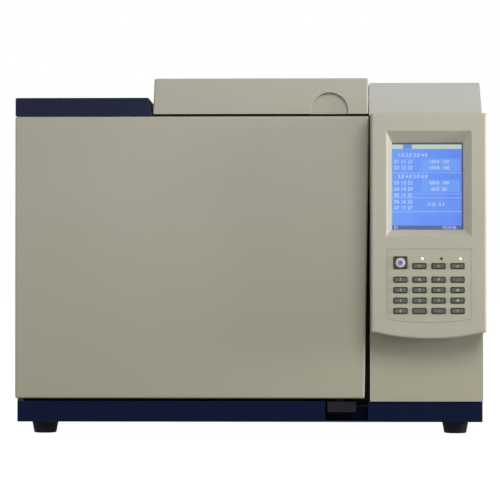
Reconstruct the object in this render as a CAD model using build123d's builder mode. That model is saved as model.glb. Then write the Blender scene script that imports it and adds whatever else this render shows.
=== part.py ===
"""Bench gas chromatograph: column oven, inlet and detector deck, and electronics tower.

Millimetres.  The origin is the middle of the footprint, on the bench; -Y is the front,
+X the operator's right and +Z up.
"""

import os
from math import sqrt

from build123d import *

os.makedirs("parts", exist_ok=True)

# ---------------------------------------------------------------- driving dimensions
# Cabinet
overall_width = 598.5
body_depth = 440.0  # door face to rear panel
panel_proud = 45.0  # how far the control panel stands out of the tower
rear_reach = 15.0  # how far the gas unions stand out of the rear panel
tower_width = 144.0
foot_height = 15.5
base_height = 26.5
panel_sheet = 1.5
fit_gap = 0.3  # between pieces that lie against each other without touching

# Feet
foot_inset = 33.0
foot_top_radius = 17.2
foot_bottom_radius = 14.4

# Base pan and latch pocket
pan_sheet = 2.0
pan_lip = 24.0
pan_inset = 2.5  # how far the pan's left side stands inside the cabinet's
pan_right_inset = 0.4
pocket_width = 55.0
pocket_depth = 34.0
pocket_to_tower = 2.5
nose_inset = 14.0  # pocket's left wall to the latch's nose
nose_width = 10.0

# Oven door
door_depth = 26.0
door_sheet = 2.0
door_foot_gap = 3.5
door_head_gap = 0.6
door_seal_gap = 2.0
door_edge_gap = 1.2  # top of the free edge to the tower
door_edge_lean = 5.8  # how much the free edge closes in towards the hinge, top to bottom
door_corner = 2.5
door_pivot_inset = 7.0
pivot_radius = 2.5
pivot_clearance = 0.05
pivot_grip = 9.0
plug_depth = 22.0
plug_gap = 5.0
gasket_width = 12.0

# Oven
cavity_width = 300.0
cavity_height = 250.0
cavity_depth = 250.0
liner_sheet = 1.2
shell_sheet = 1.5
floor_insulation = 42.0
roof_insulation = 45.0
roof_space = 22.6  # oven box to the deck
rear_insulation = 55.0
side_gap = 1.0
baffle_sheet = 1.5
baffle_margin = 18.0
baffle_standoff = 56.0
baffle_slot_inset = 22.0
baffle_foot_inset = 7.0
baffle_foot_radius = 4.0
fan_radius = 58.0
fan_depth = 28.0
fan_blades = 8
fan_rear_gap = 12.0
blade_sheet = 1.6
shaft_radius = 4.0
shaft_clearance = 0.05
shaft_hole_radius = 7.0
motor_radius = 38.0
motor_length = 52.0
heater_radius = 78.0
heater_wire = 2.6

# Capillary column and its hanger
coil_radius = 86.0
coil_section = 10.0
coil_width = 34.0
coil_turns = 8
hanger_rod = 3.0
riser_radius = 0.8
nut_drop = 12.0  # column nuts below the oven roof

# Top deck, inlets and detectors
deck_sheet = 2.0
deck_front_step = 3.0
injector_radius = 7.0
injector_block = 36.0
injector_inset = 32.0  # oven cavity's left wall to the first inlet
injector_pitch = 42.0
injector_setback = 60.0
detector_radius = 9.0
detector_block = 40.0
detector_inset = 90.0  # oven cavity's right wall to the last detector
detector_pitch = 80.0
detector_setback = 95.0
riser_lead = 26.0
riser_bend = 8.0

# Hinged covers
cover_depth = 380.0
cover_sheet = 2.0
cover_gap = 0.5
injector_cover_width = 176.0
injector_cover_height = 23.5
injector_end_slope = 4.5
covers_between = 0.8
detector_cover_height = 45.5
detector_cover_lift = 2.5
detector_end_slope = 2.0
hinge_rise = 9.0
hinge_ear = 6.5
scoop_radius = 24.0
scoop_depth = 5.0
scoop_from_right = 49.6

# Tower top
header_height = 42.5
header_lean = 8.0
header_side_slope = 2.8
header_gap = 1.0

# Control panel
panel_wall = 3.0
panel_overhang = 0.8
panel_side_height = 275.2  # straight sides, top edge down to the corners of the lip
panel_lip_drop = 9.0  # how far the curved lip hangs below its corners
panel_edge_radius = 3.0
screen_width = 89.6
screen_height = 110.0
screen_depth = 10.0
screen_margin_left = 8.0
screen_margin_right = 10.0
screen_margin_top = 14.5
screen_margin_bottom = 8.5
screen_from_top = 22.0
window_sheet = 1.6
window_overlap = 5.0
lcd_thickness = 10.0

# Keys
key_columns = 4
key_rows = 5
key_width = 17.6
key_height = 7.2
key_pitch_x = 23.9
key_pitch_z = 13.1
first_row_extra = 4.0  # the first row of keys stands this much further up
start_key_height = 15.6
key_proud = 1.8
key_travel = 1.2
key_clearance = 0.3
key_corner = 1.6
key_flange = 1.0
key_flange_sheet = 1.4
field_from_screen = 15.3  # screen recess to the upper edge of the key field
field_width = 107.5
field_height = 89.5
field_lip_drop = 4.8
field_groove = 0.8
first_key_drop = 22.0  # upper edge of the key field to the first row's centre
lamp_radius = 1.7
lamp_rise = 9.2
lamp_shift = 3.7
board_sheet = 1.6
board_standoff = 4.5

# Electronics in the tower
board_length = 220.0
board_height = 180.0
board_from_front = 30.0
board_rise = 80.0
board_stand_off = 8.0
board_post_radius = 3.0
board_screw_inset = 8.0
chip_size = 28.0
chip_height = 3.0
socket_height = 12.0
fin_pitch = 6.0
fin_height = 18.0
core_size = 72.0
core_stack = 40.0
core_from_rear = 130.0
bobbin_depth = 62.0
bobbin_corner = 8.0
manifold_length = 140.0
manifold_height = 30.0
manifold_depth = 28.0
manifold_gap = 15.0
valve_count = 4
valve_radius = 11.0
valve_length = 30.0

# Rear panel
vent_size = 66.0
vent_frame = 4.0
flap_clearance = 1.0
union_radius = 7.0
union_pitch = 27.0
tube_socket_radius = 1.65
tube_socket_depth = 12.0
inlet_width = 30.0
inlet_height = 24.0
rocker_width = 19.0
rocker_height = 26.0
rocker_tilt = 8.0

# ---------------------------------------------------------------- places worked out from them
left_x = -overall_width / 2
right_x = overall_width / 2
tower_left = right_x - tower_width

face_y = key_proud - (key_proud + panel_proud + body_depth + rear_reach) / 2  # control panel's face
front_y = face_y + panel_proud  # face of the door and tower
rear_y = front_y + body_depth
rear_inner_y = rear_y - panel_sheet
chassis_y = front_y + door_depth + door_seal_gap  # front of the oven box

base_top = foot_height + base_height

oven_left = left_x + panel_sheet + side_gap
oven_right = tower_left - side_gap
oven_mid = (oven_left + oven_right) / 2
cavity_left = oven_mid - cavity_width / 2
cavity_right = oven_mid + cavity_width / 2
cavity_floor = base_top + shell_sheet + floor_insulation + liner_sheet
cavity_roof = cavity_floor + cavity_height
cavity_back = chassis_y + cavity_depth
cavity_mid_z = (cavity_floor + cavity_roof) / 2
shell_top = cavity_roof + liner_sheet + roof_insulation + shell_sheet
shell_back = cavity_back + liner_sheet + rear_insulation + shell_sheet

deck_bottom = shell_top + roof_space
deck_top = deck_bottom + deck_sheet
door_bottom = base_top + door_foot_gap
door_top = deck_bottom - door_head_gap

door_right = tower_left - door_edge_gap
pivot_x = left_x + door_pivot_inset
pivot_y = front_y + door_pivot_inset
pocket_right = tower_left - pocket_to_tower
pocket_left = pocket_right - pocket_width
pocket_floor = foot_height + pan_sheet


# ---------------------------------------------------------------- shared helpers
def front_plane(y):
    """A plane that faces the operator; its own axes are X and Z."""
    return Plane(origin=(0, y, 0), x_dir=(1, 0, 0), z_dir=(0, -1, 0))


def span(low_u, high_u, low_v, high_v, mode=Mode.ADD):
    """A rectangle between two opposite corners of the sketch plane."""
    with Locations(((low_u + high_u) / 2, (low_v + high_v) / 2)):
        Rectangle(high_u - low_u, high_v - low_v, mode=mode)


def block(x_span, y_span, z_span, mode=Mode.ADD):
    """A rectangular block between two values along each axis."""
    middle = [(low + high) / 2 for low, high in (x_span, y_span, z_span)]
    size = [high - low for low, high in (x_span, y_span, z_span)]
    with Locations(tuple(middle)):
        Box(*size, mode=mode)


def rod(start, direction, radius, length, mode=Mode.ADD):
    """A round bar from a point along a direction."""
    with BuildSketch(Plane(origin=start, z_dir=direction)) as section:
        Circle(radius)
    extrude(section.sketch, amount=length, mode=mode)


def finish(name, piece):
    """Label a finished piece and write its STEP file."""
    piece.label = name
    export_step(piece, f"parts/{name}.step")


# ---------------------------------------------------------------- base pan
# Folded steel pan that carries everything: a deck, a skirt, and a lip below for the feet.
# A pressed pocket under the door's free corner, open at its top, houses the latch.
pan_front = front_y + door_corner
pan_left = left_x + pan_inset
pan_right = right_x - pan_right_inset
nose_x = (pocket_left + nose_inset, pocket_left + nose_inset + nose_width)
nose_y = front_y + door_depth / 2

with BuildPart() as base_pan:
    block((pan_left, pan_right), (pan_front, rear_y), (foot_height, base_top))
    fillet(base_pan.edges().filter_by(Axis.Z), radius=door_corner)
    block(
        (pan_left + pan_sheet, pan_right - pan_sheet),
        (pan_front + pan_sheet, rear_y - pan_sheet),
        (pocket_floor, base_top - pan_sheet),
        mode=Mode.SUBTRACT,
    )
    pan_opening = pan_sheet + pan_lip + 2 * foot_top_radius
    block(
        (pan_left + pan_opening, pan_right - pan_opening),
        (pan_front + pan_opening, rear_y - pan_opening),
        (foot_height, pocket_floor),
        mode=Mode.SUBTRACT,
    )
    block(
        (pocket_left - pan_sheet, pocket_right + pan_sheet),
        (pan_front, pan_front + pocket_depth + pan_sheet),
        (foot_height, base_top),
    )
    block(
        (pocket_left, pocket_right),
        (pan_front, pan_front + pocket_depth),
        (pocket_floor, base_top),
        mode=Mode.SUBTRACT,
    )
finish("base_pan", base_pan.part)

# ---------------------------------------------------------------- feet
# Moulded rubber cones, screwed up into the pan's lip through a counterbore.
foot_left = pan_left + foot_inset
foot_right = pan_right - foot_inset
foot_front = front_y + foot_inset
foot_back = rear_y - foot_inset

with BuildPart() as feet:
    for x in (foot_left, foot_right):
        for y in (foot_front, foot_back):
            with BuildSketch(Plane.XZ.offset(-y)):
                with BuildLine():
                    Polyline(
                        (x, foot_height),
                        (x, foot_height / 2),
                        (x + foot_bottom_radius / 3, foot_height / 2),
                        (x + foot_bottom_radius / 3, 0),
                        (x + foot_bottom_radius - 1, 0),
                        (x + foot_bottom_radius, 1),
                        (x + foot_top_radius, foot_height),
                        close=True,
                    )
                make_face()
            revolve(axis=Axis((x, y, 0), (0, 0, 1)))
finish("feet", feet.part)

# ---------------------------------------------------------------- cabinet panels
# Painted sheet steel.  The right one is louvred for the electronics behind it.
with BuildPart() as left_side_panel:
    with BuildSketch(Plane.YZ.offset(left_x)):
        span(chassis_y, rear_y, base_top, deck_bottom)
    extrude(amount=panel_sheet)
finish("left_side_panel", left_side_panel.part)

louvre_rows = 9
louvre_pitch = 12.0
louvre_length = 90.0
louvre_height = 4.0
louvre_low = base_top + 60

with BuildPart() as right_side_panel:
    with BuildSketch(Plane.YZ.offset(right_x - panel_sheet)):
        span(front_y + door_sheet, rear_y, base_top, deck_bottom)
        for louvre_y in (rear_y - 320, rear_y - 120):
            with Locations((louvre_y, louvre_low + (louvre_rows - 1) * louvre_pitch / 2)):
                with GridLocations(0, louvre_pitch, 1, louvre_rows):
                    SlotOverall(louvre_length, louvre_height, mode=Mode.SUBTRACT)
    extrude(amount=panel_sheet)
finish("right_side_panel", right_side_panel.part)

# ---------------------------------------------------------------- rear panel
# Folded sheet with two cool-down vents into the oven, a louvred motor window and the
# cut-outs for the gas unions and the mains module.
vent_half = vent_size / 2
vent_x = (cavity_left + vent_half + 24, cavity_right - vent_half - 24)
vent_z = cavity_mid_z
union_z = shell_top + 4
union_first_x = tower_left + 34
union_count = 4
module_left = tower_left + 40
module_width = inlet_width + rocker_width + 26
module_height = 40.0
module_flange = 5.0
module_low = base_top + 22
module_mid_z = module_low + module_height / 2

# flap barrels and their pins
barrel_radius = 2.4
flap_pin_radius = 1.0
flap_half = vent_half - flap_clearance
flap_pin_y = rear_y + barrel_radius - 0.4
flap_pin_z = vent_z + flap_half - barrel_radius

with BuildPart() as rear_panel:
    with BuildSketch(front_plane(rear_y)):
        span(left_x + panel_sheet, right_x - panel_sheet, base_top, deck_bottom)
        for x in vent_x:
            span(x - vent_half, x + vent_half, vent_z - vent_half, vent_z + vent_half, Mode.SUBTRACT)
        with Locations((oven_mid, cavity_mid_z)):
            with GridLocations(0, 11, 1, 7):
                SlotOverall(70, 5, mode=Mode.SUBTRACT)
        with Locations((union_first_x + union_pitch * (union_count - 1) / 2, union_z)):
            with GridLocations(union_pitch, 0, union_count, 1):
                Circle(union_radius * 0.8 + fit_gap, mode=Mode.SUBTRACT)
        span(
            module_left,
            module_left + module_width,
            module_low,
            module_low + module_height,
            Mode.SUBTRACT,
        )
    extrude(amount=panel_sheet)
    for x in vent_x:
        for side in (-1, 1):
            lug = sorted((x + side * vent_half, x + side * (vent_half + vent_frame)))
            block(lug, (rear_y, rear_y + 2 * barrel_radius), (flap_pin_z - 2.5, flap_pin_z + 2.5))
        rod((x - vent_half, flap_pin_y, flap_pin_z), (1, 0, 0), flap_pin_radius, vent_size)
finish("rear_panel", rear_panel.part)

# ---------------------------------------------------------------- oven box
# Galvanised outer box with the oven mouth in its front, two vent ducts at its back, and
# holes for the inlets, the detectors and the fan shaft.
injector_y = chassis_y + injector_setback
injector_x = (cavity_left + injector_inset, cavity_left + injector_inset + injector_pitch)
detector_y = chassis_y + detector_setback
detector_x = (cavity_right - detector_inset - detector_pitch, cavity_right - detector_inset)
duct_half = vent_half + shell_sheet


def pierce(low_z, high_z):
    """Cut the inlet and detector bores through whatever lies between two heights."""
    for places, y, radius in (
        (injector_x, injector_y, injector_radius),
        (detector_x, detector_y, detector_radius),
    ):
        for x in places:
            with Locations((x, y, (low_z + high_z) / 2)):
                Cylinder(radius, high_z - low_z, mode=Mode.SUBTRACT)


def pierce_back(low_y, high_y):
    """Cut the fan shaft's hole through whatever lies between two depths."""
    rod((oven_mid, low_y, cavity_mid_z), (0, 1, 0), shaft_hole_radius, high_y - low_y, Mode.SUBTRACT)


with BuildPart() as oven_shell:
    block((oven_left, oven_right), (chassis_y, shell_back), (base_top, shell_top))
    block(
        (oven_left + shell_sheet, oven_right - shell_sheet),
        (chassis_y + shell_sheet, shell_back - shell_sheet),
        (base_top + shell_sheet, shell_top - shell_sheet),
        mode=Mode.SUBTRACT,
    )
    block(
        (cavity_left, cavity_right),
        (chassis_y, chassis_y + shell_sheet),
        (cavity_floor, cavity_roof),
        mode=Mode.SUBTRACT,
    )
    for x in vent_x:
        block(
            (x - duct_half, x + duct_half),
            (shell_back - shell_sheet, rear_inner_y),
            (vent_z - duct_half, vent_z + duct_half),
        )
        block(
            (x - vent_half, x + vent_half),
            (shell_back - shell_sheet, rear_inner_y),
            (vent_z - vent_half, vent_z + vent_half),
            mode=Mode.SUBTRACT,
        )
    pierce(shell_top - shell_sheet, shell_top)
    pierce_back(shell_back - shell_sheet, shell_back)
finish("oven_shell", oven_shell.part)

# Ceramic-fibre block between the outer box and the liner.
with BuildPart() as oven_insulation:
    block(
        (oven_left + shell_sheet, oven_right - shell_sheet),
        (chassis_y + shell_sheet, shell_back - shell_sheet),
        (base_top + shell_sheet, shell_top - shell_sheet),
    )
    block(
        (cavity_left - liner_sheet, cavity_right + liner_sheet),
        (chassis_y + shell_sheet, cavity_back + liner_sheet),
        (cavity_floor - liner_sheet, cavity_roof + liner_sheet),
        mode=Mode.SUBTRACT,
    )
    for x in vent_x:
        block(
            (x - vent_half, x + vent_half),
            (cavity_back, shell_back),
            (vent_z - vent_half, vent_z + vent_half),
            mode=Mode.SUBTRACT,
        )
    pierce(cavity_roof, shell_top)
    pierce_back(cavity_back, shell_back)
finish("oven_insulation", oven_insulation.part)

# Stainless liner, open to the front, with the vent openings in its back.
with BuildPart() as oven_liner:
    block(
        (cavity_left - liner_sheet, cavity_right + liner_sheet),
        (chassis_y + shell_sheet, cavity_back + liner_sheet),
        (cavity_floor - liner_sheet, cavity_roof + liner_sheet),
    )
    block(
        (cavity_left, cavity_right),
        (chassis_y + shell_sheet, cavity_back),
        (cavity_floor, cavity_roof),
        mode=Mode.SUBTRACT,
    )
    for x in vent_x:
        block(
            (x - vent_half, x + vent_half),
            (cavity_back, cavity_back + liner_sheet),
            (vent_z - vent_half, vent_z + vent_half),
            mode=Mode.SUBTRACT,
        )
    pierce(cavity_roof, cavity_roof + liner_sheet)
    pierce_back(cavity_back, cavity_back + liner_sheet)
finish("oven_liner", oven_liner.part)

# ---------------------------------------------------------------- baffle, heater and fan
# Pressed baffle in front of the fan: a round intake, slots round the rim, four feet behind.
baffle_back = cavity_back - baffle_standoff
intake_radius = fan_radius * 0.72
slot_reach = cavity_width / 2 - baffle_margin - baffle_slot_inset
baffle_foot_x = cavity_width / 2 - baffle_margin - baffle_foot_inset
baffle_foot_z = cavity_height / 2 - baffle_margin - baffle_foot_inset

with BuildPart() as fan_baffle:
    with BuildSketch(front_plane(baffle_back)):
        span(
            cavity_left + baffle_margin,
            cavity_right - baffle_margin,
            cavity_floor + baffle_margin,
            cavity_roof - baffle_margin,
        )
        with Locations((oven_mid, cavity_mid_z)):
            Circle(intake_radius, mode=Mode.SUBTRACT)
            with GridLocations(2 * slot_reach, cavity_height / 10, 2, 7):
                SlotOverall(baffle_slot_inset, baffle_foot_inset, mode=Mode.SUBTRACT)
    extrude(amount=baffle_sheet)
    with BuildSketch(front_plane(baffle_back)):
        with Locations((oven_mid, cavity_mid_z)):
            with GridLocations(2 * baffle_foot_x, 2 * baffle_foot_z, 2, 2):
                Circle(baffle_foot_radius)
    extrude(amount=-baffle_standoff)
finish("fan_baffle", fan_baffle.part)

# Resistance wire in two rings round the fan, on ceramic posts from the liner's back.
heater_y = cavity_back - fan_rear_gap - fan_depth / 2
with BuildPart() as heater_coil:
    for ring_y in (heater_y - 6, heater_y + 6):
        with Locations(Location((oven_mid, ring_y, cavity_mid_z), (90, 0, 0))):
            Torus(heater_radius, heater_wire)
    with BuildSketch(front_plane(cavity_back)):
        with Locations((oven_mid, cavity_mid_z)):
            with PolarLocations(heater_radius, 4, start_angle=45):
                Circle(4)
    extrude(amount=cavity_back - heater_y + 10)
finish("heater_coil", heater_coil.part)

# Radial oven fan: back plate, blades and hub on a long shaft from the motor.
fan_back = cavity_back - fan_rear_gap
hub_radius = 12.0
motor_bore = 30.0

with BuildPart() as oven_fan:
    with BuildSketch(front_plane(fan_back)):
        with Locations((oven_mid, cavity_mid_z)):
            Circle(fan_radius)
    extrude(amount=blade_sheet)
    with BuildSketch(front_plane(fan_back)):
        with Locations((oven_mid, cavity_mid_z)):
            Circle(hub_radius)
    extrude(amount=fan_depth * 0.6)
    with BuildSketch(front_plane(fan_back)):
        with Locations((oven_mid, cavity_mid_z)):
            with PolarLocations((hub_radius + fan_radius) / 2, fan_blades):
                Rectangle(fan_radius - hub_radius - 2, blade_sheet, rotation=24)
    extrude(amount=fan_depth)
    rod(
        (oven_mid, fan_back, cavity_mid_z),
        (0, 1, 0),
        shaft_radius,
        shell_back + motor_bore - fan_back,
    )
finish("oven_fan", oven_fan.part)

# Motor with a mounting flange on the oven box and a bore for the shaft.
with BuildPart() as fan_motor:
    with BuildSketch(front_plane(shell_back)):
        with Locations((oven_mid, cavity_mid_z)):
            RectangleRounded(2 * motor_radius + 16, 2 * motor_radius + 16, 8)
    extrude(amount=-3)
    with BuildSketch(front_plane(shell_back)):
        with Locations((oven_mid, cavity_mid_z)):
            Circle(motor_radius)
    extrude(amount=-motor_length)
    fillet(fan_motor.faces().sort_by(Axis.Y)[-1].edges(), radius=4)
    rod(
        (oven_mid, shell_back, cavity_mid_z),
        (0, 1, 0),
        shaft_radius + shaft_clearance,
        motor_bore + 4,
        Mode.SUBTRACT,
    )
finish("fan_motor", fan_motor.part)

# ---------------------------------------------------------------- column and hanger
# Two bent rods off the liner's back wall, through the baffle's margin, carry the column.
coil_y = baffle_back - baffle_sheet - coil_width / 2 - 14
coil_z = cavity_mid_z - 6
hanger_x = 34.0
coil_inner = coil_radius - coil_section / 2
hanger_z = coil_z + sqrt(coil_inner**2 - (hanger_x + hanger_rod / 2) ** 2) - hanger_rod / 2 - fit_gap

with BuildPart() as column_hanger:
    for side in (-1, 1):
        x = oven_mid + side * hanger_x
        with BuildLine(Plane.YZ.offset(x)):
            FilletPolyline(
                (coil_y - coil_width / 2 - 8, hanger_z + 10),
                (coil_y - coil_width / 2 - 8, hanger_z),
                (coil_y + coil_width / 2 + 5, hanger_z),
                (coil_y + coil_width / 2 + 5, cavity_roof),
                radius=4,
            )
        with BuildSketch(Plane(origin=(x, coil_y - coil_width / 2 - 8, hanger_z + 10), z_dir=(0, 0, 1))):
            Circle(hanger_rod / 2)
        sweep()
finish("column_hanger", column_hanger.part)

# Fused-silica column wound on a wire cage: a scalloped ring, one scallop for each layer of
# turns, with its two ends rising to the fittings in the oven roof.
with BuildPart() as column:
    with BuildSketch(Plane.XY.offset(coil_z)):
        low_y = coil_y - coil_width / 2
        layer = coil_width / coil_turns
        with BuildLine():
            Polyline(
                (oven_mid + coil_radius, low_y + coil_width),
                (oven_mid + coil_radius - coil_section / 2, low_y + coil_width),
                (oven_mid + coil_radius - coil_section / 2, low_y),
                (oven_mid + coil_radius, low_y),
            )
            for turn in range(coil_turns):
                ThreePointArc(
                    (oven_mid + coil_radius, low_y + turn * layer),
                    (oven_mid + coil_radius + layer / 2, low_y + (turn + 0.5) * layer),
                    (oven_mid + coil_radius, low_y + (turn + 1) * layer),
                )
        make_face()
    revolve(axis=Axis((oven_mid, coil_y, coil_z), (0, 1, 0)))
    for end_x, end_y, side in (
        (injector_x[0], injector_y, -1),
        (detector_x[0], detector_y, 1),
    ):
        leave = (oven_mid + side * 24, coil_y - coil_width / 2 + 2, coil_z + coil_radius - 6)
        with BuildLine():
            FilletPolyline(
                leave,
                (leave[0], leave[1] - riser_lead, leave[2]),
                (end_x, end_y, leave[2]),
                (end_x, end_y, cavity_roof - nut_drop),
                radius=riser_bend,
            )
        with BuildSketch(Plane(origin=leave, z_dir=(0, -1, 0))):
            Circle(riser_radius)
        sweep()
finish("column", column.part)

# ---------------------------------------------------------------- top deck
# Folded sheet over the oven and the door's head, with one well for the inlets and one for
# the detectors.  It rests on the side panels.
well_margin = 23.0
injector_well = (
    injector_x[0] - well_margin,
    injector_x[1] + well_margin,
    injector_y - well_margin,
    injector_y + well_margin,
)
detector_well = (
    detector_x[0] - well_margin,
    detector_x[1] + well_margin,
    detector_y - well_margin,
    detector_y + well_margin,
)
header_left = tower_left - header_gap
header_right = right_x - header_gap

with BuildPart() as top_deck:
    with BuildSketch(Plane.XY.offset(deck_bottom)):
        span(
            left_x + cover_gap,
            header_left - cover_gap,
            front_y + deck_front_step,
            rear_y - panel_sheet,
        )
        for well in (injector_well, detector_well):
            span(*well, mode=Mode.SUBTRACT)
    extrude(amount=deck_sheet)
    with BuildSketch(Plane.XY.offset(shell_top)):
        for low_x, high_x, low_y, high_y in (injector_well, detector_well):
            span(low_x - deck_sheet, high_x + deck_sheet, low_y - deck_sheet, high_y + deck_sheet)
            span(low_x, high_x, low_y, high_y, Mode.SUBTRACT)
    extrude(amount=deck_bottom - shell_top)
finish("top_deck", top_deck.part)

# ---------------------------------------------------------------- inlets and detectors
# Turned bodies through the oven roof: column nut below, heated block on the oven box, and a
# knurled septum nut or a jet housing on top.
injector_top = deck_bottom + injector_cover_height - cover_sheet - 4


def turned_body(x, y, steps):
    """A turned stack: each step is a radius and the height that it reaches up to."""
    low = cavity_roof - nut_drop
    for radius, high in steps:
        with Locations((x, y, (low + high) / 2)):
            Cylinder(radius, high - low)
        low = high


with BuildPart() as injectors:
    for x in injector_x:
        turned_body(
            x,
            injector_y,
            ((4.5, cavity_roof - 2), (injector_radius - 0.2, shell_top)),
        )
        with BuildSketch(Plane.XY.offset(shell_top)):
            with Locations((x, injector_y)):
                RectangleRounded(injector_block, injector_block, 3)
        extrude(amount=18)
        with BuildSketch(Plane.XY.offset(shell_top + 18)):
            with Locations((x, injector_y)):
                Circle(9)
        extrude(amount=injector_top - 14 - shell_top - 18)
        with BuildSketch(Plane.XY.offset(injector_top - 14)):
            with Locations((x, injector_y)):
                Circle(11)
                with PolarLocations(11, 16):
                    Circle(0.9, mode=Mode.SUBTRACT)
        extrude(amount=14)
        with Locations((x, injector_y, injector_top)):
            Cone(4, 1.2, 5, align=(Align.CENTER, Align.CENTER, Align.MAX), mode=Mode.SUBTRACT)
finish("injectors", injectors.part)

detector_top = deck_bottom + detector_cover_lift + detector_cover_height - cover_sheet - 4

with BuildPart() as detectors:
    for x in detector_x:
        turned_body(
            x,
            detector_y,
            ((4.5, cavity_roof - 2), (detector_radius - 0.2, shell_top)),
        )
        with BuildSketch(Plane.XY.offset(shell_top)):
            with Locations((x, detector_y)):
                RectangleRounded(detector_block, detector_block, 3)
        extrude(amount=20)
        with BuildSketch(Plane.XY.offset(shell_top + 20)):
            with Locations((x, detector_y)):
                Circle(16)
        extrude(amount=16)
        with BuildSketch(Plane.XY.offset(shell_top + 36)):
            with Locations((x, detector_y)):
                Circle(11)
        extrude(amount=detector_top - shell_top - 36)
        rod((x, detector_y, detector_top - 12), (0, 0, 1), 7, 12, Mode.SUBTRACT)
        rod((x, detector_y - 9, detector_top - 16), (0, -1, 0), 4, 16)
finish("detectors", detectors.part)

# ---------------------------------------------------------------- hinge pins
# One pair of steel brackets for each cover, pivot pins for the door, and the latch's pin.
bracket_sheet = 3.0
bracket_gap = 0.6
bracket_eye = 3.4
bracket_foot = 8.0
pin_shy = 0.4  # how far each pin stops short of the cover's outside
hinge_y = front_y + cover_depth - cover_sheet - bracket_eye - 2 * fit_gap
hinge_z = deck_top + hinge_rise
injector_cover_right = left_x + injector_cover_width
detector_cover_left = injector_cover_right + covers_between
detector_cover_right = header_left - cover_gap - 0.5
detector_cover_low = deck_bottom + detector_cover_lift
detector_cover_top = detector_cover_low + detector_cover_height
injector_cover_top = deck_bottom + injector_cover_height
latch_y = pan_front + pocket_depth - 8.0
latch_z = base_top - 7.5
latch_pin_radius = 1.5

# each cover's left wall, right wall, and how far those walls lean inwards at the top
hinged_covers = (
    (left_x, injector_cover_right, 0.0, injector_end_slope),
    (detector_cover_left, detector_cover_right, detector_end_slope, 0.0),
)


def bracket_face(wall, slope, side):
    """Outer face of a bracket, a small gap inside the cover's wall."""
    return wall + side * (slope + cover_sheet + bracket_gap)


with BuildPart() as hinge_pins:
    for wall_left, wall_right, slope_left, slope_right in hinged_covers:
        for face, slope, side in ((wall_left, slope_left, 1), (wall_right, slope_right, -1)):
            inner = bracket_face(face, slope, side)
            with BuildSketch(Plane.YZ.offset(inner)):
                span(hinge_y - bracket_foot, hinge_y + bracket_eye, deck_top, hinge_z)
                with Locations((hinge_y, hinge_z)):
                    Circle(bracket_eye)
            extrude(amount=side * bracket_sheet)
            reach = abs(inner - face) - slope - pin_shy
            rod((inner, hinge_y, hinge_z), (-side, 0, 0), pivot_radius, reach)
    for low, high, collar_low, collar_high in (
        (base_top, door_bottom + pivot_grip, base_top, door_bottom - 0.5),
        (door_top - pivot_grip, deck_bottom, deck_bottom - 0.6, deck_bottom),
    ):
        rod((pivot_x, pivot_y, low), (0, 0, 1), pivot_radius, high - low)
        rod((pivot_x, pivot_y, collar_low), (0, 0, 1), pivot_radius + 2, collar_high - collar_low)
    rod((pocket_left, latch_y, latch_z), (1, 0, 0), latch_pin_radius, pocket_width)
finish("hinge_pins", hinge_pins.part)


# ---------------------------------------------------------------- hinged covers
# Pressed-steel covers, open below, that swing up and back on the pins inside their rear
# corners.  The navy one's front wall hangs over the deck's edge.
cover_back = front_y + cover_depth
notch_width = bracket_sheet + 2 * bracket_gap
notch_rise = 2 * bracket_eye


def cover_body(low, high, wall_left, wall_right, slope_left, slope_right):
    """The cover's block with its top edges rounded, hollowed from below."""
    with BuildSketch(front_plane(front_y)) as outer:
        with BuildLine() as outline:
            Polyline(
                (wall_left, low),
                (wall_right, low),
                (wall_right - slope_right, high),
                (wall_left + slope_left, high),
                close=True,
            )
        make_face(outline.edges())
    body = extrude(outer.sketch, amount=-cover_depth)
    crown_edges = body.faces().sort_by(Axis.Z)[-1].edges()
    front_uprights = body.faces().sort_by(Axis.Y)[0].edges().sort_by(Axis.Z)[1:-1]
    fillet(crown_edges + front_uprights, radius=cover_sheet * 1.2)
    with BuildSketch(front_plane(front_y + cover_sheet)) as inner:
        with BuildLine() as outline:
            Polyline(
                (wall_left + cover_sheet, low),
                (wall_right - cover_sheet, low),
                (wall_right - cover_sheet - slope_right, high - cover_sheet),
                (wall_left + cover_sheet + slope_left, high - cover_sheet),
                close=True,
            )
        make_face(outline.edges())
    extrude(inner.sketch, amount=-(cover_depth - 2 * cover_sheet), mode=Mode.SUBTRACT)


def cut_hinge_end(wall_left, wall_right, slope_left, slope_right, low):
    """Clear the deck behind the hinge line, leave an ear about each pin, and bore it.
    The rear wall is notched round each bracket, so that it passes when the cover swings up."""
    width = wall_right - wall_left + 2
    with BuildSketch(Plane.YZ.offset(wall_left - 1)) as clearing:
        span(hinge_y, cover_back + 1, low - 1, hinge_z - 2)
        with Locations((hinge_y, hinge_z)):
            Circle(hinge_ear, mode=Mode.SUBTRACT)
    extrude(clearing.sketch, amount=width, mode=Mode.SUBTRACT)
    for wall, slope, side in ((wall_left, slope_left, 1), (wall_right, slope_right, -1)):
        outer_face = bracket_face(wall, slope, side)
        notch = sorted((outer_face - side * bracket_gap, outer_face + side * notch_width))
        block(
            notch,
            (hinge_y + bracket_eye, cover_back + 1),
            (low - 1, hinge_z + notch_rise),
            mode=Mode.SUBTRACT,
        )
    rod(
        (wall_left - 1, hinge_y, hinge_z),
        (1, 0, 0),
        pivot_radius + pivot_clearance,
        width,
        Mode.SUBTRACT,
    )


with BuildPart() as injector_cover:
    cover_body(
        deck_bottom,
        injector_cover_top,
        left_x,
        injector_cover_right,
        0,
        injector_end_slope,
    )
    block(
        (left_x - 1, injector_cover_right + 1),
        (front_y + cover_sheet, cover_back + 1),
        (deck_bottom - 1, deck_top + cover_gap),
        mode=Mode.SUBTRACT,
    )
    cut_hinge_end(left_x, injector_cover_right, 0, injector_end_slope, deck_bottom)
finish("injector_cover", injector_cover.part)

scoop_x = detector_cover_right - scoop_from_right
scoop_z = detector_cover_low + 3.5

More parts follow.
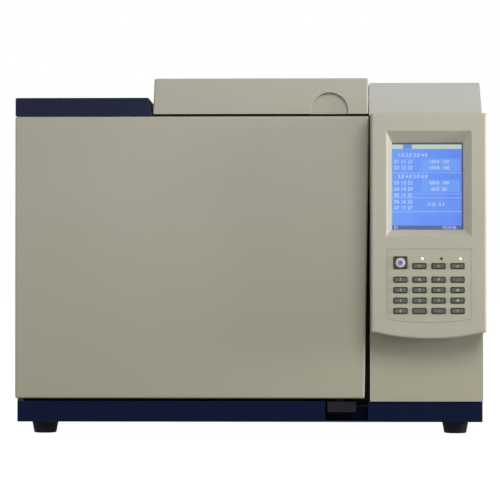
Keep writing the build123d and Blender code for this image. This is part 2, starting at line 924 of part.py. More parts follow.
with BuildPart() as detector_cover:
    cover_body(
        detector_cover_low,
        detector_cover_top,
        detector_cover_left,
        detector_cover_right,
        detector_end_slope,
        0,
    )
    cut_hinge_end(
        detector_cover_left,
        detector_cover_right,
        detector_end_slope,
        0,
        detector_cover_low,
    )
    with BuildSketch(front_plane(front_y + cover_sheet)):
        with Locations((scoop_x, scoop_z)):
            Circle(scoop_radius + cover_sheet)
        span(
            scoop_x - scoop_radius - cover_sheet,
            scoop_x + scoop_radius + cover_sheet,
            detector_cover_low,
            detector_cover_top - cover_sheet,
            Mode.INTERSECT,
        )
    extrude(amount=-scoop_depth)
    with BuildSketch(front_plane(front_y)):
        with Locations((scoop_x, scoop_z)):
            Circle(scoop_radius)
    extrude(amount=-scoop_depth, mode=Mode.SUBTRACT)
finish("detector_cover", detector_cover.part)

# ---------------------------------------------------------------- tower
# Front plate behind the control panel, folded back along the door's free edge.
with BuildPart() as tower_front_panel:
    with BuildSketch(front_plane(front_y)):
        span(tower_left, right_x, base_top, deck_bottom)
        with Locations(((tower_left + right_x) / 2, deck_bottom - 120)):
            RectangleRounded(80, 30, 6, mode=Mode.SUBTRACT)
    extrude(amount=-door_sheet)
    block(
        (tower_left, tower_left + panel_sheet),
        (front_y + door_sheet, chassis_y),
        (base_top, deck_bottom),
    )
finish("tower_front_panel", tower_front_panel.part)

# Moulded lid of the tower: its face leans back and its right end tapers.
def header_form(inset, mode):
    """The lid's outer form, or the hollow inside it when set in by the wall."""
    with BuildSketch(Plane.XY.offset(deck_bottom)) as foot:
        span(header_left + inset, header_right - inset, front_y + inset, rear_y - inset)
    with BuildSketch(Plane.XY.offset(deck_bottom + header_height - inset)) as crown:
        span(
            header_left + inset,
            header_right - header_side_slope - inset,
            front_y + header_lean + inset,
            rear_y - inset,
        )
    loft([foot.sketch, crown.sketch], mode=mode)


with BuildPart() as header_cover:
    header_form(0, Mode.ADD)
    fillet(header_cover.faces().sort_by(Axis.Z)[-1].edges(), radius=cover_sheet * 1.2)
    header_form(cover_sheet, Mode.SUBTRACT)
finish("header_cover", header_cover.part)

# ---------------------------------------------------------------- control panel
# Moulded housing: rounded face, lip curved below, a tapered recess down to the screen, and
# holes for the keys and lamps inside a grooved field.
panel_left = tower_left
panel_right = right_x + panel_overhang
panel_mid = (panel_left + panel_right) / 2
panel_top = deck_bottom - fit_gap
panel_corner_z = panel_top - panel_side_height
recess_width = screen_width + screen_margin_left + screen_margin_right
recess_height = screen_height + screen_margin_top + screen_margin_bottom
recess_left = panel_mid - recess_width / 2
recess_top = panel_top - screen_from_top
recess_low = recess_top - recess_height
screen_left = recess_left + screen_margin_left
screen_top = recess_top - screen_margin_top
field_top = recess_low - field_from_screen
field_low = field_top - field_height
first_row_z = field_top - first_key_drop
seat_y = face_y + screen_depth  # where the window sits
board_y = face_y + panel_wall + board_standoff


def key_place(column, row):
    """Centre of a key in the panel's face."""
    x = panel_mid + (column - (key_columns - 1) / 2) * key_pitch_x
    z = first_row_z - row * key_pitch_z - (first_row_extra if row else 0)
    if (column, row) == (0, 0):
        z += (start_key_height - key_height) / 2
    return x, z


def key_size(column, row):
    """Width and height of a key's cap."""
    return key_width, start_key_height if (column, row) == (0, 0) else key_height


def lipped_face(left, right, top, corner_z, drop, inset, mode=Mode.ADD):
    """A face with straight sides and a bowed lower edge, set in by an even amount."""
    left += inset
    right -= inset
    corner_z += inset
    with BuildLine() as outline:
        Polyline((left, corner_z), (left, top - inset), (right, top - inset), (right, corner_z))
        ThreePointArc((right, corner_z), ((left + right) / 2, corner_z - drop), (left, corner_z))
    make_face(outline.edges(), mode=mode)


def screen_taper(grow, mode):
    """The recess between the panel's face and the window, grown by a wall."""
    with BuildSketch(front_plane(face_y)) as mouth:
        span(
            recess_left - grow,
            recess_left + recess_width + grow,
            recess_low - grow,
            recess_top + grow,
        )
    with BuildSketch(front_plane(seat_y)) as seat:
        span(
            screen_left - grow,
            screen_left + screen_width + grow,
            screen_top - screen_height - grow,
            screen_top + grow,
        )
    loft([mouth.sketch, seat.sketch], mode=mode)


lamps = [
    (key_place(column, 0)[0] + lamp_shift, first_row_z + lamp_rise) for column in range(1, key_columns)
]
boss_x = (panel_mid - field_width / 2 + 4, panel_mid + field_width / 2 - 4)
boss_z = (field_low + 6, field_top - 5)

with BuildPart() as control_housing:
    with BuildSketch(front_plane(front_y)):
        lipped_face(panel_left, panel_right, panel_top, panel_corner_z, panel_lip_drop, 0)
    extrude(amount=panel_proud)
    rim = control_housing.faces().sort_by(Axis.Y)[0].edges()
    fillet(rim, radius=panel_edge_radius)
    with BuildSketch(front_plane(front_y)):
        lipped_face(panel_left, panel_right, panel_top, panel_corner_z, panel_lip_drop, panel_wall)
    extrude(amount=panel_proud - panel_wall, mode=Mode.SUBTRACT)
    screen_taper(panel_wall, Mode.ADD)
    screen_taper(0, Mode.SUBTRACT)
    with BuildSketch(front_plane(face_y + panel_wall)):
        for x in boss_x:
            with Locations((x, boss_z[0]), (x, boss_z[1])):
                Circle(3)
    extrude(amount=-board_standoff)
    with BuildSketch(front_plane(face_y)):
        for column in range(key_columns):
            for row in range(key_rows):
                width, height = key_size(column, row)
                with Locations(key_place(column, row)):
                    RectangleRounded(
                        width + 2 * key_clearance,
                        height + 2 * key_clearance,
                        key_corner + key_clearance,
                    )
        with Locations(*lamps):
            Circle(lamp_radius + key_clearance / 2)
    extrude(amount=-panel_wall, mode=Mode.SUBTRACT)
    with BuildSketch(front_plane(face_y)):
        field_left = panel_mid - field_width / 2
        field_right = panel_mid + field_width / 2
        lipped_face(field_left, field_right, field_top, field_low, field_lip_drop, 0)
        lipped_face(
            field_left,
            field_right,
            field_top,
            field_low,
            field_lip_drop,
            field_groove,
            Mode.SUBTRACT,
        )
    extrude(amount=-field_groove / 2, mode=Mode.SUBTRACT)
finish("control_housing", control_housing.part)

window_low = screen_top - screen_height - window_overlap
window_x = (screen_left - window_overlap, screen_left + screen_width + window_overlap)

with BuildPart() as lcd_window:
    block(window_x, (seat_y, seat_y + window_sheet), (window_low, screen_top + window_overlap))
finish("lcd_window", lcd_window.part)

with BuildPart() as lcd_display:
    lcd_front = seat_y + window_sheet
    block(
        (window_x[0] - 3, window_x[1] + 3),
        (lcd_front, lcd_front + lcd_thickness),
        (window_low - 3, screen_top + window_overlap + 3),
    )
    chamfer(lcd_display.faces().sort_by(Axis.Y)[-1].edges(), length=2)
finish("lcd_display", lcd_display.part)

# Circuit board behind the keys, with a rubber dome short of each key by its travel.
flange_front = face_y + panel_wall + fit_gap
flange_back = flange_front + key_flange_sheet
dome_height = board_y - flange_back - key_travel - fit_gap

with BuildPart() as key_board:
    block(
        (boss_x[0] - 5, boss_x[1] + 5),
        (board_y, board_y + board_sheet),
        (boss_z[0] - 5, boss_z[1] + 5),
    )
    with BuildSketch(front_plane(board_y)):
        for column in range(key_columns):
            for row in range(key_rows):
                with Locations(key_place(column, row)):
                    Circle(2.5)
    extrude(amount=dome_height, taper=20)
finish("key_board", key_board.part)

with BuildPart() as indicator_lamps:
    for x, z in lamps:
        with BuildSketch(Plane.XY.offset(z)):
            with BuildLine():
                Line((x, board_y), (x + lamp_radius, board_y))
                Line((x + lamp_radius, board_y), (x + lamp_radius, face_y + 1))
                CenterArc((x, face_y + 1), lamp_radius, 0, -90)
                Line((x, face_y + 1 - lamp_radius), (x, board_y))
            make_face()
        revolve(axis=Axis((x, board_y, z), (0, 1, 0)))
finish("indicator_lamps", indicator_lamps.part)

# Key caps: a rounded cap that stands out of the face and a flange that keeps it in.
for column in range(key_columns):
    for row in range(key_rows):
        width, height = key_size(column, row)
        with BuildPart() as key:
            with BuildSketch(front_plane(flange_front)):
                with Locations(key_place(column, row)):
                    RectangleRounded(width, height, key_corner)
            extrude(amount=flange_front - face_y + key_proud)
            cap_edges = key.faces().sort_by(Axis.Y)[0].edges()
            chamfer(cap_edges, length=key_proud / 2, length2=key_proud / 3)
            with BuildSketch(front_plane(flange_front)):
                with Locations(key_place(column, row)):
                    Rectangle(width + 2 * key_flange, height + 2 * key_flange)
            extrude(amount=-key_flange_sheet)
        finish(f"key_{row + 1}_{column + 1}", key.part)

# ---------------------------------------------------------------- electronics and gas
# Main board on standoffs off the oven box's right wall.
board_x = oven_right + board_stand_off
board_span_y = (chassis_y + board_from_front, chassis_y + board_from_front + board_length)
board_span_z = (base_top + board_rise, base_top + board_rise + board_height)
board_mid_y = sum(board_span_y) / 2
board_mid_z = sum(board_span_z) / 2
chip_x = board_x + board_sheet
sink_y = board_span_y[1] - board_length / 5

with BuildPart() as main_board:
    block((board_x, chip_x), board_span_y, board_span_z)
    for y in (board_span_y[0] + board_screw_inset, board_span_y[1] - board_screw_inset):
        for z in (board_span_z[0] + board_screw_inset, board_span_z[1] - board_screw_inset):
            rod((oven_right, y, z), (1, 0, 0), board_post_radius, board_stand_off)
    with BuildSketch(Plane.YZ.offset(chip_x)):
        with Locations((board_mid_y - chip_size / 2, board_mid_z)):
            Rectangle(chip_size, chip_size)
        with Locations((board_mid_y, board_mid_z + 2 * chip_size)):
            Rectangle(2 * chip_size, chip_size / 2)
        with Locations((sink_y, board_mid_z - chip_size)):
            Rectangle(8 * fin_pitch, 2 * chip_size)
    extrude(amount=chip_height)
    with BuildSketch(Plane.YZ.offset(chip_x)):
        with Locations((board_span_y[0] + chip_size, board_mid_z + chip_size / 2)):
            Rectangle(chip_size / 3, 3 * chip_size)
    extrude(amount=socket_height)
    with BuildSketch(Plane.YZ.offset(chip_x)):
        with Locations((sink_y, board_mid_z - chip_size)):
            with GridLocations(fin_pitch, 0, 7, 1):
                Rectangle(fin_pitch / 3, 2 * chip_size)
    extrude(amount=fin_height)
finish("main_board", main_board.part)

# Mains transformer: laminated core with two windows round a wound bobbin.
core_x = (tower_left + right_x) / 2
core_y = rear_y - core_from_rear

with BuildPart() as transformer:
    with BuildSketch(front_plane(core_y - core_stack / 2)):
        with Locations((core_x, base_top + core_size / 2)):
            Rectangle(core_size, core_size)
            with GridLocations(core_size / 2, 0, 2, 1):
                Rectangle(core_size / 6, core_size * 2 / 3, mode=Mode.SUBTRACT)
    extrude(amount=-core_stack)
    with BuildSketch(Plane.XY.offset(base_top + core_size / 6 + fit_gap)):
        with Locations((core_x, core_y)):
            RectangleRounded(core_size * 2 / 3 - fit_gap, bobbin_depth, bobbin_corner)
    extrude(amount=core_size * 2 / 3 - 2 * fit_gap)
finish("transformer", transformer.part)

# Gas manifold on the oven box's right wall, with a row of solenoid valves.
manifold_z = (board_span_z[1] + manifold_gap, board_span_z[1] + manifold_gap + manifold_height)
manifold_y = (board_span_y[0], board_span_y[0] + manifold_length)
manifold_face = oven_right + manifold_depth

with BuildPart() as flow_manifold:
    block((oven_right, manifold_face), manifold_y, manifold_z)
    chamfer(flow_manifold.edges().filter_by(Axis.Y), length=2)
    valve_pitch = (manifold_y[1] - manifold_y[0]) / valve_count
    with BuildSketch(Plane.YZ.offset(manifold_face)):
        with Locations(((manifold_y[0] + manifold_y[1]) / 2, (manifold_z[0] + manifold_z[1]) / 2)):
            with GridLocations(valve_pitch, 0, valve_count, 1):
                Circle(valve_radius)
    extrude(amount=valve_length)
finish("flow_manifold", flow_manifold.part)

# Bulkhead unions for the gas lines: hexagon, collar and a socket for 3.2 mm tube.
union_shank = union_radius * 0.8
with BuildPart() as gas_unions:
    for number in range(union_count):
        x = union_first_x + number * union_pitch
        with BuildSketch(front_plane(rear_y)):
            with Locations((x, union_z)):
                RegularPolygon(union_radius * 1.3, 6)
        extrude(amount=-5)
        rod((x, rear_y, union_z), (0, 1, 0), union_radius, rear_reach)
        rod((x, rear_y, union_z), (0, -1, 0), union_shank, panel_sheet + 12)
        rod(
            (x, rear_y + rear_reach - tube_socket_depth, union_z),
            (0, 1, 0),
            tube_socket_radius,
            tube_socket_depth,
            Mode.SUBTRACT,
        )
finish("gas_unions", gas_unions.part)

# Mains module: appliance inlet with three blades, fuse drawer face and the rocker's well.
socket_depth = 18.0
module_body = 30.0
inlet_mid = module_left + 8 + inlet_width / 2
rocker_mid = module_left + module_width - 8 - rocker_width / 2
rocker_pivot_y = rear_y - 1.0
rocker_axle = 1.5

with BuildPart() as mains_module:
    block(
        (module_left, module_left + module_width),
        (rear_inner_y - module_body, rear_y),
        (module_low, module_low + module_height),
    )
    with BuildSketch(front_plane(rear_y)):
        with Locations((module_left + module_width / 2, module_mid_z)):
            RectangleRounded(
                module_width + 2 * module_flange,
                module_height + 2 * module_flange,
                4,
            )
    extrude(amount=-2.5)
    with BuildSketch(front_plane(rear_y + 2.5)):
        with Locations((inlet_mid, module_mid_z)):
            RectangleRounded(inlet_width, inlet_height, 3)
        with Locations((rocker_mid, module_mid_z)):
            Rectangle(rocker_width, rocker_height)
    extrude(amount=socket_depth, mode=Mode.SUBTRACT)
    with BuildSketch(front_plane(rear_y + 2.5 - socket_depth)):
        with Locations(
            (inlet_mid, module_mid_z + 4),
            (inlet_mid - 7, module_mid_z - 4),
            (inlet_mid + 7, module_mid_z - 4),
        ):
            Rectangle(2, 4)
    extrude(amount=-(socket_depth - 4))
    rod(
        (rocker_mid - rocker_width / 2, rocker_pivot_y, module_mid_z),
        (1, 0, 0),
        rocker_axle,
        rocker_width,
    )
finish("mains_module", mains_module.part)

# Rocker on its axle, standing at "off".
with BuildPart() as power_rocker:
    half = rocker_height / 2 - 1
    with BuildSketch(Plane.YZ.offset(rocker_mid - rocker_width / 2 + fit_gap)):
        with Locations(Location((rocker_pivot_y, module_mid_z, 0), (0, 0, -rocker_tilt))):
            Polygon(
                (3.5, 0),
                (5, half),
                (-2, half),
                (-6, half * 0.4),
                (-6, -half * 0.4),
                (-2, -half),
                (5, -half),
                align=None,
            )
            Circle(rocker_axle + pivot_clearance, mode=Mode.SUBTRACT)
    extrude(amount=rocker_width - 2 * fit_gap)
finish("power_rocker", power_rocker.part)

# ---------------------------------------------------------------- latch
# Press-down lever on a pin at the back of its pocket; its nose stands just under the door.
grip_width = 36.5
grip_drop = 14.0
grip_left = pocket_left + 3.0
grip_front = pan_front + 1.0
nose_top = door_bottom - 0.8

with BuildPart() as latch_handle:
    with BuildSketch(Plane.YZ.offset(grip_left)):
        with BuildLine():
            Polyline(
                (grip_front, base_top - 0.8),
                (grip_front, base_top - grip_drop),
                (grip_front + 4, base_top - grip_drop),
                (grip_front + 6, latch_z - 3),
                (latch_y, latch_z - 4),
                (latch_y, latch_z + 4),
                (grip_front + 8, latch_z + 3),
                (grip_front + 4, base_top - 0.8),
                close=True,
            )
        make_face()
        with Locations((latch_y, latch_z)):
            Circle(4)
            Circle(latch_pin_radius + pivot_clearance, mode=Mode.SUBTRACT)
    extrude(amount=grip_width)
    with BuildSketch(Plane.YZ.offset(nose_x[0])):
        span(nose_y - 2.5, nose_y + 2.5, latch_z, nose_top)
    extrude(amount=nose_x[1] - nose_x[0])
finish("latch_handle", latch_handle.part)

# ---------------------------------------------------------------- oven door
# Pressed outer panel, hollow at the back, with a pivot boss in its top and bottom corners.
door_back = front_y + door_depth


def door_outline(inset):
    """The door's face: plumb at the hinge, closing in down its free edge."""
    with BuildLine() as outline:
        Polyline(
            (left_x + inset, door_bottom + inset),
            (door_right - door_edge_lean - inset, door_bottom + inset),
            (door_right - inset, door_top - inset),
            (left_x + inset, door_top - inset),
            close=True,
        )
    make_face(outline.edges())


def door_pivots(radius, mode):
    """Both pivot bosses, or the holes through them."""
    for z in (door_bottom, door_top - pivot_grip - 2):
        rod((pivot_x, pivot_y, z), (0, 0, 1), radius, pivot_grip + 2, mode)


with BuildPart() as door_panel:
    with BuildSketch(front_plane(door_back)):
        door_outline(0)
    extrude(amount=door_depth)
    face_edges = door_panel.faces().sort_by(Axis.Y)[0].edges()
    upright_edges = door_panel.edges().filter_by(Axis.Y)
    fillet(face_edges + upright_edges, radius=door_corner)
    with BuildSketch(front_plane(door_back)):
        door_outline(door_sheet)
    extrude(amount=door_depth - door_sheet, mode=Mode.SUBTRACT)
    door_pivots(pivot_radius + 2.5, Mode.ADD)
    door_pivots(pivot_radius + pivot_clearance, Mode.SUBTRACT)
finish("door_panel", door_panel.part)

# Stainless inner pan: a plate inside the door's rim and a drawn plug for the oven mouth.
plug_left = cavity_left + plug_gap
plug_right = cavity_right - plug_gap
plug_low = cavity_floor + plug_gap
plug_top = cavity_roof - plug_gap
plug_back = chassis_y + plug_depth
plug_taper = 3.0


def plug_form(inset, back_y, mode):
    """The drawn plug, tapering towards the oven."""
    far = inset + plug_taper
    with BuildSketch(front_plane(door_back)) as root:
        span(plug_left + inset, plug_right - inset, plug_low + inset, plug_top - inset)
    with BuildSketch(front_plane(back_y)) as tip:
        span(plug_left + far, plug_right - far, plug_low + far, plug_top - far)
    loft([root.sketch, tip.sketch], mode=mode)


with BuildPart() as door_inner_pan:
    plug_form(0, plug_back, Mode.ADD)
    back_face = door_inner_pan.faces().sort_by(Axis.Y)[-1]
    fillet(back_face.edges(), radius=4)
    with BuildSketch(front_plane(door_back)):
        door_outline(door_sheet)
    extrude(amount=liner_sheet)
    plug_form(liner_sheet, plug_back - liner_sheet, Mode.SUBTRACT)
    with BuildSketch(front_plane(door_back)):
        span(
            plug_left + liner_sheet,
            plug_right - liner_sheet,
            plug_low + liner_sheet,
            plug_top - liner_sheet,
        )
    extrude(amount=liner_sheet, mode=Mode.SUBTRACT)
finish("door_inner_pan", door_inner_pan.part)

with BuildPart() as door_insulation:
    with BuildSketch(front_plane(door_back - liner_sheet)):
        door_outline(door_sheet)
    extrude(amount=door_depth - door_sheet - liner_sheet)
    plug_form(liner_sheet + fit_gap, plug_back - liner_sheet - 5, Mode.ADD)
    with BuildSketch(front_plane(door_back)):
        far = liner_sheet + fit_gap
        span(plug_left + far, plug_right - far, plug_low + far, plug_top - far)
    extrude(amount=liner_sheet)
    for z in (door_bottom, door_top - pivot_grip - 3):
        rod((pivot_x, pivot_y, z), (0, 0, 1), pivot_radius + 3, pivot_grip + 3, Mode.SUBTRACT)
finish("door_insulation", door_insulation.part)

with BuildPart() as door_gasket:
    with BuildSketch(front_plane(door_back)):
        with Locations((oven_mid, cavity_mid_z)):
            reach = 2 * (gasket_width + 2)
            RectangleRounded(cavity_width + reach, cavity_height + reach, 14)
            RectangleRounded(cavity_width + 4, cavity_height + 4, 4, mode=Mode.SUBTRACT)
    extrude(amount=-(door_seal_gap - fit_gap))
finish("door_gasket", door_gasket.part)

# ---------------------------------------------------------------- vent flaps
# Pressed flaps that fill the vents and swing out on rolled barrels along their top edges.

for name, x in zip(("intake_flap", "exhaust_flap"), vent_x):
    with BuildPart() as flap:
        block(
            (x - flap_half, x + flap_half),
            (rear_inner_y, rear_y),
            (vent_z - flap_half, vent_z + flap_half),
        )
        rod(
            (x - flap_half, flap_pin_y, flap_pin_z),
            (1, 0, 0),
            barrel_radius,
            2 * flap_half,
        )
        rod(
            (x - flap_half, flap_pin_y, flap_pin_z),
            (1, 0, 0),
            flap_pin_radius + pivot_clearance,
            2 * flap_half,
            Mode.SUBTRACT,
        )
    finish(name, flap.part)
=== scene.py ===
"""Bench gas chromatograph: camera, light, and the looks of every piece, in the CAD frame."""

import math
import bpy
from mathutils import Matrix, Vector


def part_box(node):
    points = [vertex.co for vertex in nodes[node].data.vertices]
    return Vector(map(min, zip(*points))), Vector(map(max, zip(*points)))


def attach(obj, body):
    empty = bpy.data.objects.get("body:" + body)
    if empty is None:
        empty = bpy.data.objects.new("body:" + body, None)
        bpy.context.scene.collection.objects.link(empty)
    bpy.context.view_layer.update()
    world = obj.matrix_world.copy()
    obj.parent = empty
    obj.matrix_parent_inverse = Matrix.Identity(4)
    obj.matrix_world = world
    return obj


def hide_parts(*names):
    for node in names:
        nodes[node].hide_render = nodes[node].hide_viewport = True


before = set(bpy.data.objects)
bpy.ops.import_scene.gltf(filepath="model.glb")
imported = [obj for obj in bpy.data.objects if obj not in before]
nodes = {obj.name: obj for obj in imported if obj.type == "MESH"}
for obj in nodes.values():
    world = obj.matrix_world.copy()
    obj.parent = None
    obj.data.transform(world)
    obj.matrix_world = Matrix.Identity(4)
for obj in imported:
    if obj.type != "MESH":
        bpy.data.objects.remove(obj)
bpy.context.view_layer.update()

# ---------------------------------------------------------------- camera
# A long lens on a tripod, level with the middle of the cabinet and a little to its right,
# three metres off, so that neither the top nor the sides show.
bpy.ops.object.camera_add(
    location=(0.0609, -3.0, 0.1976),
    rotation=(math.radians(90.77), 0, math.radians(1.21)),
)
tripod_camera = bpy.context.object
tripod_camera.name = "tripod_camera"
tripod_camera.data.sensor_width = 36
tripod_camera.data.lens = 157.5
tripod_camera.data.clip_end = 60
bpy.context.scene.camera = tripod_camera
bpy.context.scene.view_settings.view_transform = "Standard"

# ---------------------------------------------------------------- lamps and room light
# A large soft box above the right shoulder, without a mirror image, so that the covers don't
# glare from behind; a weaker one from the left; one low at the far right that grazes the
# front; and one behind, in a white room that shows white.
for lamp_name, place, aim, width, power, mirrored in (
    ("soft_box_right", (0.5, -1.6, 1.15), (0.05, -0.2, 0.2), 1.0, 18.6, False),
    ("soft_box_left", (-2.2, -1.9, 0.9), (-0.1, 0.0, 0.2), 1.6, 9.0, True),
    ("window_right", (2.1, -0.5, 0.42), (0.2, -0.25, 0.3), 0.6, 36.0, True),
    ("soft_box_back", (-0.8, 2.4, 1.9), (0.0, 0.2, 0.2), 1.6, 26.0, True),
):
    bpy.ops.object.light_add(type="AREA", location=place)
    soft_box = bpy.context.object
    soft_box.name = lamp_name
    soft_box.data.shape = "DISK"
    soft_box.data.size = width
    soft_box.data.energy = power
    soft_box.visible_glossy = mirrored
    way = Vector(aim) - Vector(place)
    soft_box.rotation_euler = way.to_track_quat("-Z", "Y").to_euler()


def both(tree, first, second, operation="MULTIPLY"):
    """Two factors joined by an operation."""
    join = tree.nodes.new("ShaderNodeMath")
    join.operation = operation
    for socket, factor in zip(join.inputs, (first, second)):
        if isinstance(factor, float):
            socket.default_value = factor
        else:
            tree.links.new(factor, socket)
    return join.outputs[0]


def backdrop(tree, colour, strength):
    """An even light of the room."""
    light = tree.nodes.new("ShaderNodeBackground")
    light.inputs["Color"].default_value = colour
    light.inputs["Strength"].default_value = strength
    return light.outputs[0]


room = bpy.data.worlds.new("white_room")
bpy.context.scene.world = room
room.use_nodes = True
room_tree = room.node_tree
room_tree.nodes.clear()
seen_wall = backdrop(room_tree, (1, 1, 1, 1), 1.0)
lit_wall = backdrop(room_tree, (0.97, 0.98, 1.0, 1), 0.24)
ray = room_tree.nodes.new("ShaderNodeLightPath").outputs
seen_ray = both(room_tree, ray["Is Camera Ray"], ray["Is Glossy Ray"], "MAXIMUM")
seen_ray = both(room_tree, seen_ray, ray["Is Transmission Ray"], "MAXIMUM")
wall_mix = room_tree.nodes.new("ShaderNodeMixShader")
room_out = room_tree.nodes.new("ShaderNodeOutputWorld")
for socket, source in zip(wall_mix.inputs, (seen_ray, lit_wall, seen_wall)):
    room_tree.links.new(source, socket)
room_tree.links.new(wall_mix.outputs[0], room_out.inputs[0])

# ---------------------------------------------------------------- bench top
# A plain white bench that runs out of view. It takes the feet's shadow and shows white
# where the cabinet doesn't shade it.
bench_size = 24
bench_middle = (0, 4, 0)
bpy.ops.object.select_all(action="DESELECT")
bpy.ops.mesh.primitive_plane_add(size=bench_size, location=bench_middle)
bench = bpy.context.object
bench.name = "bench_top"
bpy.ops.object.transform_apply(location=True, rotation=True, scale=True)
laminate = bpy.data.materials.new("white_laminate")
laminate.use_nodes = True
laminate_tree = laminate.node_tree
laminate_shader = laminate_tree.nodes["Principled BSDF"]
laminate_shader.inputs["Base Color"].default_value = (0.28, 0.28, 0.28, 1)
laminate_shader.inputs["Roughness"].default_value = 0.7
laminate_shader.inputs["Specular IOR Level"].default_value = 0.2
glow = laminate_tree.nodes.new("ShaderNodeEmission")
glow.inputs["Color"].default_value = (1, 1, 1, 1)
glow.inputs["Strength"].default_value = 1.4
glow_share = 0.7
bench_ray = laminate_tree.nodes.new("ShaderNodeLightPath").outputs
bench_seen = both(laminate_tree, bench_ray["Is Camera Ray"], bench_ray["Is Glossy Ray"], "MAXIMUM")
bench_mix = laminate_tree.nodes.new("ShaderNodeMixShader")
for socket, source in zip(
    bench_mix.inputs,
    (both(laminate_tree, bench_seen, glow_share), laminate_shader.outputs[0], glow.outputs[0]),
):
    laminate_tree.links.new(source, socket)
laminate_out = laminate_tree.nodes["Material Output"]
laminate_tree.links.new(bench_mix.outputs[0], laminate_out.inputs[0])
bench.data.materials.append(laminate)

# ---------------------------------------------------------------- base pan and covers in navy
# Folded and pressed steel under a navy powder coat, with the coat's fine orange peel, soft
# cloudy shade and edges rubbed a little lighter, partly a painted highlight. The base pan
# takes a darker copy of the same coat: painted shade.


def srgb(red, green, blue):
    """A colour as it looks, 0 to 255, for a shader."""
    shown = [value / 255 for value in (red, green, blue)]
    linear = [v / 12.92 if v <= 0.04045 else ((v + 0.055) / 1.055) ** 2.4 for v in shown]
    return (*linear, 1.0)


def new_finish(name, colour, roughness):
    """A material with its shader and its own Object coordinates."""
    finish = bpy.data.materials.new(name)
    finish.use_nodes = True
    tree = finish.node_tree
    shader = tree.nodes["Principled BSDF"]
    shader.inputs["Base Color"].default_value = colour
    shader.inputs["Roughness"].default_value = roughness
    place = tree.nodes.new("ShaderNodeTexCoord").outputs["Object"]
    return finish, tree, shader, place


def stretched(tree, place, scale, turn=(0, 0, 0)):
    """Object coordinates stretched along an axis, for a grain that runs one way."""
    mapping = tree.nodes.new("ShaderNodeMapping")
    mapping.inputs["Scale"].default_value = scale
    mapping.inputs["Rotation"].default_value = turn
    tree.links.new(place, mapping.inputs["Vector"])
    return mapping.outputs["Vector"]


def cloud(tree, place, scale, detail=3.0, roughness=0.5):
    """Noise of a given scale, as a factor."""
    noise = tree.nodes.new("ShaderNodeTexNoise")
    noise.inputs["Scale"].default_value = scale
    noise.inputs["Detail"].default_value = detail
    noise.inputs["Roughness"].default_value = roughness
    tree.links.new(place, noise.inputs["Vector"])
    return noise.outputs["Fac"]


def ramp(tree, factor, low, high, from_value=0.0, to_value=1.0):
    """A factor stretched between two values and held there."""
    stretch = tree.nodes.new("ShaderNodeMapRange")
    stretch.inputs["From Min"].default_value = low
    stretch.inputs["From Max"].default_value = high
    stretch.inputs["To Min"].default_value = from_value
    stretch.inputs["To Max"].default_value = to_value
    tree.links.new(factor, stretch.inputs["Value"])
    return stretch.outputs["Result"]


def blend_colour(tree, factor, first, second):
    """A mix of two colours, each a value or a socket."""
    mix = tree.nodes.new("ShaderNodeMix")
    mix.data_type = "RGBA"
    tree.links.new(factor, mix.inputs[0])
    for socket, colour in ((mix.inputs[6], first), (mix.inputs[7], second)):
        if isinstance(colour, tuple):
            socket.default_value = colour
        else:
            tree.links.new(colour, socket)
    return mix.outputs[2]


def raise_grain(tree, shader, height, strength, distance):
    """Bump from a height."""
    bump = tree.nodes.new("ShaderNodeBump")
    bump.inputs["Strength"].default_value = strength
    bump.inputs["Distance"].default_value = distance
    tree.links.new(height, bump.inputs["Height"])
    tree.links.new(bump.outputs["Normal"], shader.inputs["Normal"])


def edge_wear_and_highlight(tree, reach):
    """1 along outer edges, 0 elsewhere: how far the rounded normal departs from the face's."""
    rounded = tree.nodes.new("ShaderNodeBevel")
    rounded.samples = 6
    rounded.inputs["Radius"].default_value = reach
    flat = tree.nodes.new("ShaderNodeNewGeometry")
    along = tree.nodes.new("ShaderNodeVectorMath")
    along.operation = "DOT_PRODUCT"
    tree.links.new(rounded.outputs["Normal"], along.inputs[0])
    tree.links.new(flat.outputs["Normal"], along.inputs[1])
    return ramp(tree, along.outputs["Value"], 0.995, 0.86)


def powder_coat(name, colour, shade, edge, roughness, peel=0.3, shine=0.5, painted_foot_shade=None):
    """Baked powder paint: cloudy shade, orange peel, edges worn lighter with a painted highlight,
    and painted shade low down, darker and yellower.
    """
    finish, tree, shader, place = new_finish(name, colour, roughness)
    shader.inputs["Specular IOR Level"].default_value = shine
    clouds = ramp(tree, cloud(tree, place, 3.2, 4.0, 0.6), 0.35, 0.7)
    coat = blend_colour(tree, clouds, colour, shade)
    # Painted shade: the coat turns darker and yellower towards the foot.
    if painted_foot_shade:
        height = tree.nodes.new("ShaderNodeSeparateXYZ")
        tree.links.new(place, height.inputs[0])
        coat = blend_colour(tree, ramp(tree, height.outputs["Z"], 0.30, 0.04), coat, painted_foot_shade)
    specks = ramp(tree, cloud(tree, place, 900, 2.0), 0.60, 0.72, 0.0, 0.35)
    coat = blend_colour(tree, specks, coat, shade)
    # Edges go lighter: partly wear, partly a painted highlight along the folds.
    coat = blend_colour(tree, edge_wear_and_highlight(tree, 0.0012), coat, edge)
    tree.links.new(coat, shader.inputs["Base Color"])
    wipes = cloud(tree, stretched(tree, place, (1.0, 1.0, 0.25)), 26, 5.0, 0.65)
    tree.links.new(
        ramp(tree, wipes, 0.3, 0.75, roughness - 0.02, roughness + 0.05),
        shader.inputs["Roughness"],
    )
    raise_grain(tree, shader, cloud(tree, place, 620, 2.5), peel, 0.0002)
    return finish


def dress(finish, *names):
    """Give a finish to CAD nodes."""
    for name in names:
        for slot in nodes[name].material_slots:
            slot.material = finish


navy_coat = powder_coat(
    "navy_powder_coat",
    srgb(23, 29, 51),
    srgb(19, 24, 46),
    srgb(50, 55, 78),
    0.5,
    shine=0.18,
)
dress(navy_coat, "injector_cover")
# Painted shade: the base pan gets a darker copy of the same navy coat.
shaded_navy_coat = powder_coat(
    "shaded_navy_powder_coat",
    srgb(6, 17, 46),
    srgb(4, 13, 41),
    srgb(22, 32, 60),
    0.5,
    shine=0.1,
)
dress(shaded_navy_coat, "base_pan")

